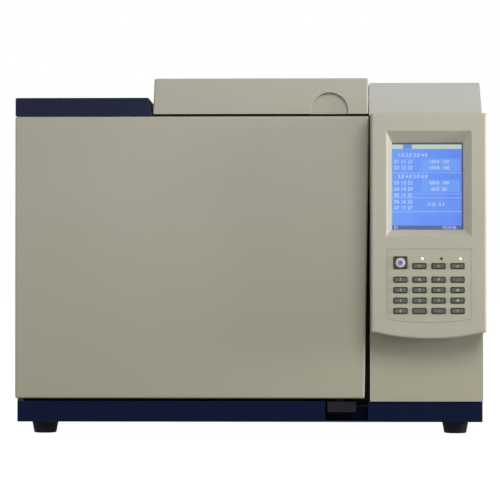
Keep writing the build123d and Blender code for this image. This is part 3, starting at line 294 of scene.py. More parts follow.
# ---------------------------------------------------------------- feet
# Moulded black rubber cones, screwed up into the pan. Dull, with a dry bloom on the skin.
rubber, rubber_tree, rubber_shader, rubber_place = new_finish(
    "foot_rubber", srgb(15, 20, 23), 0.72
)
rubber_shader.inputs["Specular IOR Level"].default_value = 0.15
bloom = ramp(rubber_tree, cloud(rubber_tree, rubber_place, 70, 5.0, 0.7), 0.45, 0.75)
rubber_tree.links.new(
    blend_colour(rubber_tree, bloom, srgb(12, 18, 21), srgb(28, 32, 34)),
    rubber_shader.inputs["Base Color"],
)
raise_grain(rubber_tree, rubber_shader, cloud(rubber_tree, rubber_place, 1500, 2.0), 0.35, 0.0002)
dress(rubber, "feet")

# ---------------------------------------------------------------- cabinet sheets in beige
# Side panels, rear panel, tower front, the detectors' cover and the door: bent sheet steel
# with a warm grey-beige powder coat, satin, rubbed lighter along the folds with a painted
# highlight, and darker and yellower towards the foot: painted shade.
beige_coat = powder_coat(
    "beige_powder_coat",
    srgb(172, 168, 154),
    srgb(166, 162, 147),
    srgb(206, 203, 192),
    0.5,
    painted_foot_shade=srgb(166, 162, 142),
)
dress(
    beige_coat,
    "left_side_panel",
    "right_side_panel",
    "rear_panel",
    "tower_front_panel",
    "detector_cover",
    "door_panel",
)

# ---------------------------------------------------------------- panel screws
# Countersunk M4 screws with a cross recess, zinc plated, that hold the sheets to the pan
# and deck. One is modelled; each place gets its own copy, its head just proud of the sheet.
screw_radius = 0.0036
screw_head = 0.0012
screw_rise = 0.0003
screw_inset = 0.012
side_screws_along = (0.03, 0.5, 0.97)
rear_screws_across = (-0.29, -0.1, 0.1, 0.29)
screw_round = 0.00022
recess_size = (0.0042, 0.0009, 0.0014)
flap_lug = 0.0048  # how far the vent flaps' lugs stand out of the rear sheet


def deselect():
    """Nothing selected, so that an operator acts on the new piece alone."""
    if bpy.context.object and bpy.context.object.mode != "OBJECT":
        bpy.ops.object.mode_set(mode="OBJECT")
    bpy.ops.object.select_all(action="DESELECT")


def only(piece):
    """This piece alone is selected and active."""
    deselect()
    piece.select_set(True)
    bpy.context.view_layer.objects.active = piece


def settle(piece):
    """The piece's place goes into its mesh."""
    only(piece)
    bpy.ops.object.transform_apply(location=True, rotation=True, scale=True)


def cut_with(piece, cutter):
    """Take a cutter's shape out of a piece."""
    only(piece)
    carve = piece.modifiers.new("carve", "BOOLEAN")
    carve.operation = "DIFFERENCE"
    carve.solver = "EXACT"
    carve.object = cutter
    bpy.ops.object.modifier_apply(modifier=carve.name)
    bpy.data.objects.remove(cutter)


def soften(piece, width, steps=2):
    """Bevel the edges sharper than 40 degrees and shade the piece smooth."""
    only(piece)
    bevel = piece.modifiers.new("softened", "BEVEL")
    bevel.width = width
    bevel.segments = steps
    bevel.limit_method = "ANGLE"
    bevel.angle_limit = math.radians(40)
    bpy.ops.object.modifier_apply(modifier=bevel.name)
    bpy.ops.object.shade_smooth_by_angle(angle=math.radians(35))


zinc, zinc_tree, zinc_shader, zinc_place = new_finish("zinc_plate", srgb(176, 176, 170), 0.34)
zinc_shader.inputs["Metallic"].default_value = 1.0
zinc_tree.links.new(
    blend_colour(
        zinc_tree,
        ramp(zinc_tree, cloud(zinc_tree, zinc_place, 240, 4.0), 0.4, 0.7),
        srgb(182, 182, 178),
        srgb(150, 146, 132),
    ),
    zinc_shader.inputs["Base Color"],
)
raise_grain(zinc_tree, zinc_shader, cloud(zinc_tree, zinc_place, 900, 2.0), 0.2, 0.0001)

deselect()
bpy.ops.mesh.primitive_cylinder_add(vertices=28, radius=screw_radius, depth=screw_head)
first_screw = bpy.context.object
for turn in (0, 90):
    bpy.ops.mesh.primitive_cube_add(size=1, location=(0, 0, screw_head / 2))
    recess_arm = bpy.context.object
    recess_arm.scale = recess_size
    recess_arm.rotation_euler = (0, 0, math.radians(turn))
    settle(recess_arm)
    cut_with(first_screw, recess_arm)
soften(first_screw, screw_round)
first_screw.data.materials.append(zinc)

panel_low, panel_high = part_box("left_side_panel")
rear_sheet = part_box("rear_panel")[1].y - flap_lug
head_step = screw_rise - screw_head / 2
side_faces = (
    (-1, panel_low.x - head_step),
    (1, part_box("right_side_panel")[1].x + head_step),
)
screw_rows = (panel_low.z + screw_inset, panel_high.z - screw_inset)
screw_places = []
for way, face in side_faces:
    for along in side_screws_along:
        depth = panel_low.y + along * (panel_high.y - panel_low.y)
        for up in screw_rows:
            turn = (0, math.radians(90 * way), 0)
            screw_places.append(("side", (face, depth, up), turn))
for across in rear_screws_across:
    for up in screw_rows:
        turn = (math.radians(-90), 0, 0)
        screw_places.append(("rear", (across, rear_sheet + head_step, up), turn))
for number, (where, spot, turn) in enumerate(screw_places, 1):
    screw = first_screw.copy()
    screw.data = first_screw.data.copy()
    screw.name = f"{where}_screw_{number:02d}"
    bpy.context.scene.collection.objects.link(screw)
    screw.rotation_euler = turn
    screw.location = spot
    settle(screw)
    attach(screw, "chassis")
bpy.data.objects.remove(first_screw)

# ---------------------------------------------------------------- oven box and deck
# Zinc-coated sheet with its flake-like spangle, cut and folded. The front frame and the
# deck's front fold are painted near black, painted shade that keeps the gaps round the shut door
# dark.
galvanised, zinc_sheet, galvanised_shader, galvanised_place = new_finish(
    "galvanised_sheet", srgb(168, 171, 172), 0.38
)
galvanised_shader.inputs["Metallic"].default_value = 0.85
spangle = zinc_sheet.nodes.new("ShaderNodeTexVoronoi")
spangle.inputs["Scale"].default_value = 95
zinc_sheet.links.new(galvanised_place, spangle.inputs["Vector"])
flake = ramp(zinc_sheet, spangle.outputs["Color"], 0.0, 1.0)
sheet_tone = blend_colour(zinc_sheet, flake, srgb(152, 156, 158), srgb(182, 185, 184))
sheet_depth = zinc_sheet.nodes.new("ShaderNodeSeparateXYZ")
zinc_sheet.links.new(galvanised_place, sheet_depth.inputs[0])
# Painted shade: the sheet's front few millimetres go near black, standing in for the shadow in the
# gaps round the door.
painted_shade_reach = 0.004
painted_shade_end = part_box("oven_shell")[0].y + painted_shade_reach
bare = ramp(zinc_sheet, sheet_depth.outputs["Y"], painted_shade_end, painted_shade_end + 0.001)
zinc_sheet.links.new(
    blend_colour(zinc_sheet, bare, srgb(16, 14, 8), sheet_tone),
    galvanised_shader.inputs["Base Color"],
)
zinc_sheet.links.new(
    ramp(zinc_sheet, spangle.outputs["Color"], 0.0, 1.0, 0.3, 0.5),
    galvanised_shader.inputs["Roughness"],
)
sheet_grain = cloud(zinc_sheet, galvanised_place, 420, 3.0)
raise_grain(zinc_sheet, galvanised_shader, sheet_grain, 0.15, 0.0002)
dress(galvanised, "oven_shell", "top_deck", "intake_flap", "exhaust_flap")


# ---------------------------------------------------------------- oven lining and fan
# Stainless sheet with a fine drawn grain and the straw tint that oven heat leaves: liner,
# baffle, the door's inner pan, the fan, the column's wire hanger and the inlet bodies.
# The hinge pins and brackets are black-oxide steel.
def drawn_steel(name, colour, tint, grain, roughness, heat=0.5):
    """Satin steel with a grain along one axis and patches of straw heat tint."""
    finish, tree, shader, place = new_finish(name, colour, roughness)
    shader.inputs["Metallic"].default_value = 1.0
    lines = cloud(tree, stretched(tree, place, grain), 60, 4.0, 0.7)
    patches = ramp(tree, cloud(tree, place, 9, 4.0, 0.6), 0.45, 0.8, 0.0, heat)
    streaks = blend_colour(
        tree,
        lines,
        colour,
        tuple(v * 0.82 for v in colour[:3]) + (1.0,),
    )
    tree.links.new(blend_colour(tree, patches, streaks, tint), shader.inputs["Base Color"])
    tree.links.new(
        ramp(tree, lines, 0.25, 0.75, roughness - 0.07, roughness + 0.08),
        shader.inputs["Roughness"],
    )
    raise_grain(tree, shader, lines, 0.18, 0.0002)
    return finish


upright_grain = drawn_steel(
    "drawn_stainless", srgb(186, 186, 184), srgb(190, 172, 138), (4, 4, 90), 0.34
)
dress(upright_grain, "oven_liner", "fan_baffle", "door_inner_pan")
turned_steel = drawn_steel(
    "turned_stainless", srgb(178, 179, 180), srgb(182, 160, 122), (6, 6, 260), 0.3, 0.35
)
dress(turned_steel, "oven_fan", "column_hanger", "injectors", "detectors")
black_oxide = powder_coat(
    "black_oxide",
    srgb(24, 24, 26),
    srgb(19, 19, 21),
    srgb(58, 58, 60),
    0.45,
    shine=0.3,
)
dress(black_oxide, "hinge_pins")

# ---------------------------------------------------------------- insulation
# Ceramic fibre between the sheets: off-white, matt, with loose fibres lying flat.
fibre, fibre_tree, fibre_shader, fibre_place = new_finish(
    "ceramic_fibre", srgb(226, 224, 214), 0.95
)
strands = cloud(fibre_tree, stretched(fibre_tree, fibre_place, (40, 40, 260)), 6, 6.0, 0.75)
fibre_tree.links.new(
    blend_colour(fibre_tree, strands, srgb(214, 211, 200), srgb(236, 234, 226)),
    fibre_shader.inputs["Base Color"],
)
raise_grain(fibre_tree, fibre_shader, strands, 0.7, 0.001)
dress(fibre, "oven_insulation", "door_insulation")

# ---------------------------------------------------------------- heater coil
# Resistance alloy, darkened by its oxide, dull with a brown cast in places.
oxide, oxide_tree, oxide_shader, oxide_place = new_finish("oxidised_wire", srgb(74, 68, 63), 0.58)
oxide_shader.inputs["Metallic"].default_value = 0.6
oxide_tree.links.new(
    blend_colour(
        oxide_tree,
        ramp(oxide_tree, cloud(oxide_tree, oxide_place, 120, 4.0), 0.4, 0.7),
        srgb(66, 62, 60),
        srgb(98, 80, 64),
    ),
    oxide_shader.inputs["Base Color"],
)
raise_grain(oxide_tree, oxide_shader, cloud(oxide_tree, oxide_place, 800, 3.0), 0.4, 0.0002)
dress(oxide, "heater_coil")


# ---------------------------------------------------------------- fused-silica column
# Many turns of amber polyimide-coated capillary: glossy, with a line for every turn.
def stripes(tree, place, along, scale, distortion=0.0):
    """Even bands across an axis, as a factor."""
    wave = tree.nodes.new("ShaderNodeTexWave")
    wave.bands_direction = along
    wave.inputs["Scale"].default_value = scale
    wave.inputs["Distortion"].default_value = distortion
    tree.links.new(place, wave.inputs["Vector"])
    return wave.outputs["Fac"]


amber, amber_tree, amber_shader, amber_place = new_finish(
    "amber_capillary", srgb(150, 96, 36), 0.28
)
amber_shader.inputs["Coat Weight"].default_value = 0.5
amber_shader.inputs["Coat Roughness"].default_value = 0.12
turns = stripes(amber_tree, amber_place, "Y", 620, 1.2)
amber_tree.links.new(
    blend_colour(amber_tree, turns, srgb(118, 70, 24), srgb(176, 118, 50)),
    amber_shader.inputs["Base Color"],
)
raise_grain(amber_tree, amber_shader, turns, 0.6, 0.0004)
dress(amber, "column")

# ---------------------------------------------------------------- electronics in the tower
# Main board in green solder mask with lighter tracks, varnished transformer, black motor.
mask, mask_tree, mask_shader, mask_place = new_finish("green_solder_mask", srgb(24, 88, 54), 0.3)
tracks = mask_tree.nodes.new("ShaderNodeTexBrick")
tracks.inputs["Scale"].default_value = 60
tracks.inputs["Mortar Size"].default_value = 0.018
tracks.inputs["Color1"].default_value = srgb(20, 82, 50)
tracks.inputs["Color2"].default_value = srgb(26, 96, 58)
tracks.inputs["Mortar"].default_value = srgb(70, 140, 92)
mask_tree.links.new(
    stretched(mask_tree, mask_place, (1, 1, 1), (0, math.radians(90), 0)),
    tracks.inputs["Vector"],
)
mask_tree.links.new(tracks.outputs["Color"], mask_shader.inputs["Base Color"])
raise_grain(mask_tree, mask_shader, tracks.outputs["Fac"], 0.2, 0.0001)
dress(mask, "main_board", "key_board")

varnish, varnish_tree, varnish_shader, varnish_place = new_finish(
    "varnished_iron", srgb(64, 60, 58), 0.4
)
varnish_shader.inputs["Metallic"].default_value = 0.5
plates = stripes(varnish_tree, varnish_place, "Y", 320)
varnish_tree.links.new(
    blend_colour(varnish_tree, plates, srgb(50, 46, 44), srgb(92, 84, 76)),
    varnish_shader.inputs["Base Color"],
)
raise_grain(varnish_tree, varnish_shader, plates, 0.4, 0.0002)
dress(varnish, "transformer")
motor_paint = powder_coat(
    "motor_black_paint",
    srgb(34, 34, 36),
    srgb(28, 28, 30),
    srgb(84, 84, 86),
    0.4,
    peel=0.2,
)
dress(motor_paint, "fan_motor")


# ---------------------------------------------------------------- door gasket
# Flat braided glass tape glued round the door's plug, rounded at its edges. It stands in
# place of the plain ring.
def face_outward(piece):
    """Turn every face of a closed piece outward."""
    only(piece)
    bpy.ops.object.mode_set(mode="EDIT")
    bpy.ops.mesh.select_all(action="SELECT")
    bpy.ops.mesh.normals_make_consistent(inside=False)
    bpy.ops.object.mode_set(mode="OBJECT")


seal_low, seal_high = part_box("door_gasket")
tape_width = 0.012
tape_corner = 0.014
tape_thickness = (seal_high.y - seal_low.y) - 0.0002
tape_round = 0.0006
braid_pitch = 190
deselect()
bpy.ops.mesh.primitive_plane_add(
    size=1,
    location=((seal_low.x + seal_high.x) / 2, seal_low.y, (seal_low.z + seal_high.z) / 2),
    rotation=(math.radians(90), 0, 0),
)
braid_tape = bpy.context.object
braid_tape.name = "braided_door_seal"
braid_tape.scale = (seal_high.x - seal_low.x, seal_high.z - seal_low.z, 1)
settle(braid_tape)
bpy.ops.object.mode_set(mode="EDIT")
bpy.ops.mesh.select_all(action="SELECT")
bpy.ops.mesh.bevel(offset=tape_corner, segments=6, affect="VERTICES")
bpy.ops.mesh.select_all(action="SELECT")
bpy.ops.mesh.inset(thickness=tape_width)
bpy.ops.mesh.delete(type="FACE")
bpy.ops.object.mode_set(mode="OBJECT")
thicken = braid_tape.modifiers.new("thicken", "SOLIDIFY")
thicken.thickness = tape_thickness
thicken.offset = 0
bpy.ops.object.modifier_apply(modifier=thicken.name)
tape_points = braid_tape.data.vertices
middle = (seal_low.y + seal_high.y) / 2
shift = middle - sum(point.co.y for point in tape_points) / len(tape_points)
braid_tape.location = (0, shift, 0)
settle(braid_tape)
soften(braid_tape, tape_round, 3)
face_outward(braid_tape)

braid, braid_tree, braid_shader, braid_place = new_finish(
    "braided_glass_tape", srgb(170, 160, 140), 0.9
)
braid_shader.inputs["Sheen Weight"].default_value = 0.3
crossing = stretched(braid_tree, braid_place, (-1, 1, 1))
left_strand = stripes(braid_tree, braid_place, "DIAGONAL", braid_pitch)
right_strand = stripes(braid_tree, crossing, "DIAGONAL", braid_pitch)
plait = both(braid_tree, left_strand, right_strand)
braid_tree.links.new(
    blend_colour(braid_tree, plait, srgb(120, 112, 96), srgb(196, 188, 168)),
    braid_shader.inputs["Base Color"],
)
raise_grain(braid_tree, braid_shader, plait, 0.8, 0.0006)
braid_tape.data.materials.append(braid)
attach(braid_tape, "oven_door")
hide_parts("door_gasket")


# ---------------------------------------------------------------- latch
# Black glass-filled nylon lever in its pocket, with a spark-grained skin.
def moulded(name, colour, shade, roughness, grain=1500, strength=0.3, shine=0.5):
    """Moulded plastic: spark-eroded grain and a faint cloud in the colour."""
    finish, tree, shader, place = new_finish(name, colour, roughness)
    shader.inputs["Specular IOR Level"].default_value = shine
    flow = ramp(tree, cloud(tree, place, 7, 4.0, 0.6), 0.35, 0.7)
    tree.links.new(blend_colour(tree, flow, colour, shade), shader.inputs["Base Color"])
    skin = cloud(tree, place, grain, 3.0, 0.6)
    tree.links.new(
        ramp(tree, skin, 0.3, 0.7, roughness - 0.05, roughness + 0.07),
        shader.inputs["Roughness"],
    )
    raise_grain(tree, shader, skin, strength, 0.0002)
    return finish


nylon = moulded("black_nylon", srgb(13, 16, 22), srgb(18, 21, 27), 0.55, shine=0.2)
dress(nylon, "latch_handle", "mains_module", "power_rocker")

# ---------------------------------------------------------------- tower lid
# Moulded lid, the same plastic as the control panel but cooler and paler, with a bare front.
lid_plastic = moulded("pale_lid_plastic", srgb(177, 176, 171), srgb(172, 171, 165), 0.5)
dress(lid_plastic, "header_cover")

# ---------------------------------------------------------------- control panel
# Moulded grey-beige housing. Its key field is printed a shade greener, with a fine pale and
# dark outline that follows the field's bowed foot: painted highlight and painted shade of the
# field's edge.
housing_low, housing_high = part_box("control_housing")
field_width = 0.1075
field_drop = 0.1703  # housing's top to the field's top
field_height = 0.0895
field_bow = 0.0048
outline_soft = 0.00015
screen_middle = (housing_low.x + housing_high.x) / 2
field_left = screen_middle - field_width / 2
field_right = screen_middle + field_width / 2
field_top = housing_high.z - field_drop
field_foot = field_top - field_height

panel_plastic, panel_tree, panel_shader, panel_place = new_finish(
    "panel_plastic", srgb(179, 175, 160), 0.48
)
panel_shader.inputs["Specular IOR Level"].default_value = 0.3


def axes_of(tree, place):
    """The three coordinates apart."""
    apart = tree.nodes.new("ShaderNodeSeparateXYZ")
    tree.links.new(place, apart.inputs[0])
    return apart.outputs


def band(tree, value, low, high, soft):
    """1 between two values, 0 outside, with soft ends."""
    rise = ramp(tree, value, low - soft, low + soft)
    fall = ramp(tree, value, high - soft, high + soft, 1.0, 0.0)
    return both(tree, rise, fall)


panel_x, _, panel_z = axes_of(panel_tree, panel_place)
bow_radius = ((field_right - field_left) ** 2 / 4 + field_bow**2) / (2 * field_bow)
bow_middle = field_foot - field_bow + bow_radius
flat_place = panel_tree.nodes.new("ShaderNodeCombineXYZ")
panel_tree.links.new(panel_x, flat_place.inputs[0])
panel_tree.links.new(panel_z, flat_place.inputs[2])
from_bow = panel_tree.nodes.new("ShaderNodeVectorMath")
from_bow.operation = "DISTANCE"
panel_tree.links.new(flat_place.outputs[0], from_bow.inputs[0])
from_bow.inputs[1].default_value = (screen_middle, 0, bow_middle)


def field_within(inset):
    """1 inside the key field's outline drawn in by an inset."""
    left, right = field_left + inset, field_right - inset
    low, high = field_foot - 2 * field_bow, field_top - inset
    reach = bow_radius - inset
    across = band(panel_tree, panel_x, left, right, outline_soft)
    up = band(panel_tree, panel_z, low, high, outline_soft)
    bowed = ramp(panel_tree, from_bow.outputs["Value"], reach - 0.0001, reach + 0.0002, 1.0, 0.0)
    return both(panel_tree, both(panel_tree, across, up), bowed)


panel_flow = ramp(panel_tree, cloud(panel_tree, panel_place, 7, 4.0, 0.6), 0.35, 0.7)
panel_tone = blend_colour(panel_tree, panel_flow, srgb(179, 175, 160), srgb(174, 170, 154))
# The first two insets draw the outline, a pale line of painted highlight and a dark line of
# painted shade; the third is the field's greener print.
for inset, field_print_and_edge_light in (
    (0.0, srgb(188, 186, 170)),
    (0.0007, srgb(150, 147, 128)),
    (0.0014, srgb(174, 172, 152)),
):
    panel_tone = blend_colour(panel_tree, field_within(inset), panel_tone, field_print_and_edge_light)
panel_tree.links.new(panel_tone, panel_shader.inputs["Base Color"])
panel_skin = cloud(panel_tree, panel_place, 1500, 3.0, 0.6)
panel_tree.links.new(
    ramp(panel_tree, panel_skin, 0.3, 0.7, 0.42, 0.54),
    panel_shader.inputs["Roughness"],
)
raise_grain(panel_tree, panel_shader, panel_skin, 0.28, 0.0002)
dress(panel_plastic, "control_housing")

# ---------------------------------------------------------------- display
# Backlit blue display behind a clear window: a pale tab bar, a dark status strip, and rows
# of plain numbers, two to a group, with a paler box round each group's values.
glass_low, glass_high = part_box("lcd_window")
screen_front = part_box("lcd_display")[0].y
glass_margin = 0.005
number_lift = 0.00003
screen_left = glass_low.x + glass_margin
screen_right = glass_high.x - glass_margin
screen_foot = glass_low.z + glass_margin
screen_top = glass_high.z - glass_margin
screen_width = screen_right - screen_left
screen_height = screen_top - screen_foot


def screen_x(across):
    """A place across the screen, 0 at its left, in metres."""
    return screen_left + across * screen_width


def screen_z(down):
    """A place down the screen, 0 at its top, in metres."""
    return screen_top - down * screen_height


lit, lit_tree, lit_shader, lit_place = new_finish("lit_display", srgb(20, 30, 60), 0.35)
lit_x, _, lit_z = axes_of(lit_tree, lit_place)
picture = blend_colour(
    lit_tree,
    ramp(lit_tree, lit_x, screen_left, screen_right),
    srgb(84, 150, 252),
    srgb(66, 118, 248),
)
haze = ramp(lit_tree, cloud(lit_tree, lit_place, 30, 3.0, 0.6), 0.35, 0.75, 0.0, 0.35)
picture = blend_colour(lit_tree, haze, picture, srgb(98, 158, 252))


def screen_patch(left, right, top, foot, colour, share=1.0):
    """Lay a rectangle of a colour on the picture, in fractions of the screen."""
    across = band(lit_tree, lit_x, screen_x(left), screen_x(right), 0.0003)
    down = band(lit_tree, lit_z, screen_z(foot), screen_z(top), 0.0002)
    inside = ramp(lit_tree, both(lit_tree, across, down), 0.0, 1.0, 0.0, share)
    return blend_colour(lit_tree, inside, picture, colour)


# Left, right, top and foot in fractions of the screen, the colour, and how much of it shows.
for patch in (
    (0.42, 0.955, 0.185, 0.33, srgb(104, 172, 252), 0.5),
    (0.42, 0.955, 0.425, 0.57, srgb(104, 172, 252), 0.5),
    (0.42, 0.955, 0.655, 0.78, srgb(104, 172, 252), 0.2),
    (0.0, 1.0, 0.343, 0.351, srgb(132, 180, 252)),
    (0.32, 1.0, 0.585, 0.593, srgb(132, 180, 252)),
    (0.0, 1.0, 0.628, 0.638, srgb(132, 180, 252)),
    (0.0, 1.0, 0.788, 0.798, srgb(140, 190, 252)),
    (-0.1, 1.1, 0.022, 0.072, srgb(198, 214, 182)),
    (0.155, 0.28, 0.022, 0.072, srgb(84, 124, 228)),
    (-0.1, 1.1, 0.952, 1.1, srgb(46, 66, 128)),
    # The last two bands, along the top and the right edge, are painted shadow cast by the bezel on
    # the screen.
    (-0.1, 1.1, -0.1, 0.021, srgb(4, 5, 8)),
    (0.978, 1.1, -0.1, 1.1, srgb(5, 8, 18)),
):
    picture = screen_patch(*patch)
pixel_rows = ramp(lit_tree, stripes(lit_tree, lit_place, "Z", 480), 0.0, 1.0, 0.0, 0.1)
picture = blend_colour(lit_tree, pixel_rows, picture, srgb(60, 92, 178))
lit_tree.links.new(picture, lit_shader.inputs["Emission Color"])
lit_shader.inputs["Emission Strength"].default_value = 0.9
dress(lit, "lcd_display")

window_glass, window_tree, window_shader, window_place = new_finish(
    "clear_window", srgb(214, 226, 236), 0.06
)
window_shader.inputs["Alpha"].default_value = 0.1
smear = ramp(window_tree, cloud(window_tree, window_place, 34, 5.0, 0.7), 0.4, 0.8, 0.04, 0.16)
window_tree.links.new(smear, window_shader.inputs["Roughness"])
dress(window_glass, "lcd_window")

white_ink, ink_tree, ink_shader, ink_place = new_finish("lit_numbers", srgb(60, 66, 84), 0.5)
ink_tone = blend_colour(
    ink_tree,
    ramp(ink_tree, cloud(ink_tree, ink_place, 500, 2.0), 0.3, 0.7),
    srgb(196, 212, 252),
    srgb(214, 226, 255),
)
ink_tree.links.new(ink_tone, ink_shader.inputs["Emission Color"])
ink_shader.inputs["Emission Strength"].default_value = 0.9


ink_thickness = 0.00002
ink_weld = 0.000002


def write(name, words, spot, size, body, finish, facing=0):
    """Plain numbers or marks as a thin mesh, centred on a spot and turned to the front."""
    deselect()
    bpy.ops.object.text_add()
    mark = bpy.context.object
    mark.data.body = words
    mark.data.size = size
    mark.data.align_x = "CENTER"
    mark.data.align_y = "CENTER"
    mark.data.extrude = ink_thickness
    mark.data.resolution_u = 3
    bpy.ops.object.convert(target="MESH")
    mark = bpy.context.object
    bpy.ops.object.mode_set(mode="EDIT")
    bpy.ops.mesh.select_all(action="SELECT")
    bpy.ops.mesh.remove_doubles(threshold=ink_weld)
    bpy.ops.object.mode_set(mode="OBJECT")
    mark.name = name
    mark.rotation_euler = (math.radians(90), 0, math.radians(facing))
    mark.location = spot
    settle(mark)
    mark.data.materials.clear()
    mark.data.materials.append(finish)
    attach(mark, body)


# Name, numbers, place across and down in fractions of the screen, and the letters' size.
screen_rows = (
    ("heading_1", "1.0 2.0 3.0 4.0", 0.29, 0.145, 0.0066),
    ("row_1", "01 11 21", 0.16, 0.22, 0.0066),
    ("value_1", "120.0  120", 0.66, 0.22, 0.0060),
    ("row_2", "02 12 22", 0.16, 0.29, 0.0066),
    ("value_2", "150.0  150", 0.66, 0.29, 0.0060),
    ("heading_2", "3.0 4.0 5.0 6.0", 0.29, 0.39, 0.0066),
    ("row_3", "03 13 23", 0.16, 0.463, 0.0066),
    ("value_3", "180.0  180", 0.66, 0.463, 0.0060),
    ("row_4", "04 14 24", 0.16, 0.535, 0.0066),
    ("value_4", "60.0  60", 0.66, 0.535, 0.0060),
    ("row_5", "05 15 25", 0.16, 0.605, 0.0066),
    ("row_6", "06 16 26", 0.16, 0.68, 0.0066),
    ("value_6", "0.25  0.3", 0.62, 0.71, 0.0060),
    ("row_7", "07 17 27", 0.16, 0.75, 0.0066),
    ("clock", "10:24:36", 0.80, 0.976, 0.0054),
    ("count", "01", 0.06, 0.976, 0.0054),
)
for name, words, across, down, size in screen_rows:
    write(
        f"screen_{name}",
        words,
        (screen_x(across), screen_front - number_lift, screen_z(down)),
        size,
        "chassis",
        white_ink,
    )

# ---------------------------------------------------------------- keys
# Moulded grey caps whose shoulders are dark, painted shade of the gap round each key. Each
# has a paler printed pad and a plain number or mark; the tall one has a silver disc instead,
# with a greyer middle. Marks and pads move with their own key.
# Painted shade: the caps' dark plastic stands for the shadow in the gap round each key's pad.
cap_shade_and_dot_plastic = moulded(
    "key_shoulder_shade_and_dot", srgb(62, 64, 58), srgb(56, 58, 52), 0.5, 1200, shine=0.3
)
rows, columns = range(1, 6), range(1, 5)
dress(cap_shade_and_dot_plastic, *[f"key_{row}_{column}" for row in rows for column in columns])
pad_plastic = moulded("key_pad_plastic", srgb(88, 92, 82), srgb(81, 85, 76), 0.46, 1400)
brown_plastic = moulded("key_pad_brown", srgb(98, 76, 70), srgb(91, 70, 64), 0.46, 1400)
pale_ink = moulded("pale_key_print", srgb(196, 198, 184), srgb(186, 188, 174), 0.5, 2000, 0.1)
disc_metal, disc_tree, disc_shader, disc_place = new_finish(
    "silver_disc", srgb(186, 184, 196), 0.45
)
disc_shader.inputs["Metallic"].default_value = 0.3
disc_grain = cloud(disc_tree, disc_place, 700, 2.0)
disc_tree.links.new(
    blend_colour(disc_tree, disc_grain, srgb(170, 168, 184), srgb(204, 202, 212)),
    disc_shader.inputs["Base Color"],
)
raise_grain(disc_tree, disc_shader, disc_grain, 0.15, 0.0001)

cap_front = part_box("key_2_1")[0].y
print_rise = 0.00006
pad_width = 0.0144
pad_height = 0.0044
pad_corner = 0.0012
number_size = 0.0052
arrow_across = 0.0021
arrow_up = 0.0022


def stand_out(piece, step):
    """Give a flat piece its thickness, by a step, with its faces outward."""
    only(piece)
    bpy.ops.object.mode_set(mode="EDIT")
    bpy.ops.mesh.select_all(action="SELECT")
    bpy.ops.mesh.extrude_region_move(TRANSFORM_OT_translate={"value": step})
    bpy.ops.object.mode_set(mode="OBJECT")
    face_outward(piece)


deselect()
bpy.ops.mesh.primitive_plane_add(size=1, rotation=(math.radians(90), 0, 0))
first_pad = bpy.context.object
first_pad.scale = (pad_width, pad_height, 1)
settle(first_pad)
bpy.ops.object.mode_set(mode="EDIT")
bpy.ops.mesh.select_all(action="SELECT")
bpy.ops.mesh.bevel(offset=pad_corner, segments=4, affect="VERTICES")
bpy.ops.object.mode_set(mode="OBJECT")
stand_out(first_pad, (0, -print_rise, 0))

key_marks = {
    (1, 2): "=",
    (1, 3): "x",
    (1, 4): "o",
    (2, 1): "7",
    (2, 2): "8",
    (2, 3): "9",
    (2, 4): "-",
    (3, 1): "4",
    (3, 2): "5",
    (3, 3): "6",
    (4, 1): "1",
    (4, 2): "2",
    (4, 3): "3",
    (5, 1): "0",
    (5, 2): ".",
    (5, 3): "-",
    (5, 4): "+",
}


def pointer(name, spot, up, body):
    """A small printed triangle that points up, or down where its height is negative."""
    deselect()
    bpy.ops.mesh.primitive_circle_add(vertices=3, radius=1, fill_type="NGON")
    arrow = bpy.context.object
    arrow.name = name
    arrow.scale = (arrow_across, up, 1)
    settle(arrow)
    stand_out(arrow, (0, 0, print_rise))
    arrow.rotation_euler = (math.radians(90), 0, 0)
    arrow.location = spot
    settle(arrow)
    arrow.data.materials.append(pale_ink)
    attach(arrow, body)


def front_of(key):
    """The middle of a key's front."""
    low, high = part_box(key)
    return Vector(((low.x + high.x) / 2, cap_front, (low.z + high.z) / 2))


for row in rows:
    for column in columns:
        if (row, column) == (1, 1):
            continue
        key = f"key_{row}_{column}"
        spot = front_of(key)
        pad = first_pad.copy()
        pad.data = first_pad.data.copy()
        pad.name = f"{key}_pad"
        bpy.context.scene.collection.objects.link(pad)
        pad.location = spot
        settle(pad)
        pad.data.materials.append(brown_plastic if (row, column) == (1, 3) else pad_plastic)
        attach(pad, key)
        mark_spot = spot + Vector((0, -print_rise, 0))
        if (row, column) == (3, 4):
            pointer(f"{key}_up", mark_spot, arrow_up, key)
        elif (row, column) == (4, 4):
            pointer(f"{key}_down", mark_spot, -arrow_up, key)
        else:
            words = key_marks[(row, column)]
            write(f"{key}_mark", words, mark_spot, number_size, key, pale_ink)
bpy.data.objects.remove(first_pad)

# Disc on the tall key: a silver ring set on the cap, a grey-violet middle, and a dark dot.
disc_core = moulded("grey_violet_disc", srgb(130, 126, 148), srgb(122, 118, 140), 0.4, 1400, 0.1)
disc_round = 0.00006
# Name, radius, how far it reaches out of the cap and into it, and its finish.
for name, radius, depth, finish in (
    ("start_disc", 0.0060, 0.0003, disc_metal),
    ("start_disc_middle", 0.0034, 0.0004, disc_core),
    ("start_disc_dot", 0.0009, 0.0005, cap_shade_and_dot_plastic),
):
    deselect()
    bpy.ops.mesh.primitive_cylinder_add(
        vertices=48,
        radius=radius,
        depth=depth,
        location=front_of("key_1_1"),
        rotation=(math.radians(90), 0, 0),
    )
    disc = bpy.context.object
    disc.name = name
    settle(disc)
    soften(disc, disc_round)
    disc.data.materials.append(finish)
    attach(disc, "key_1_1")

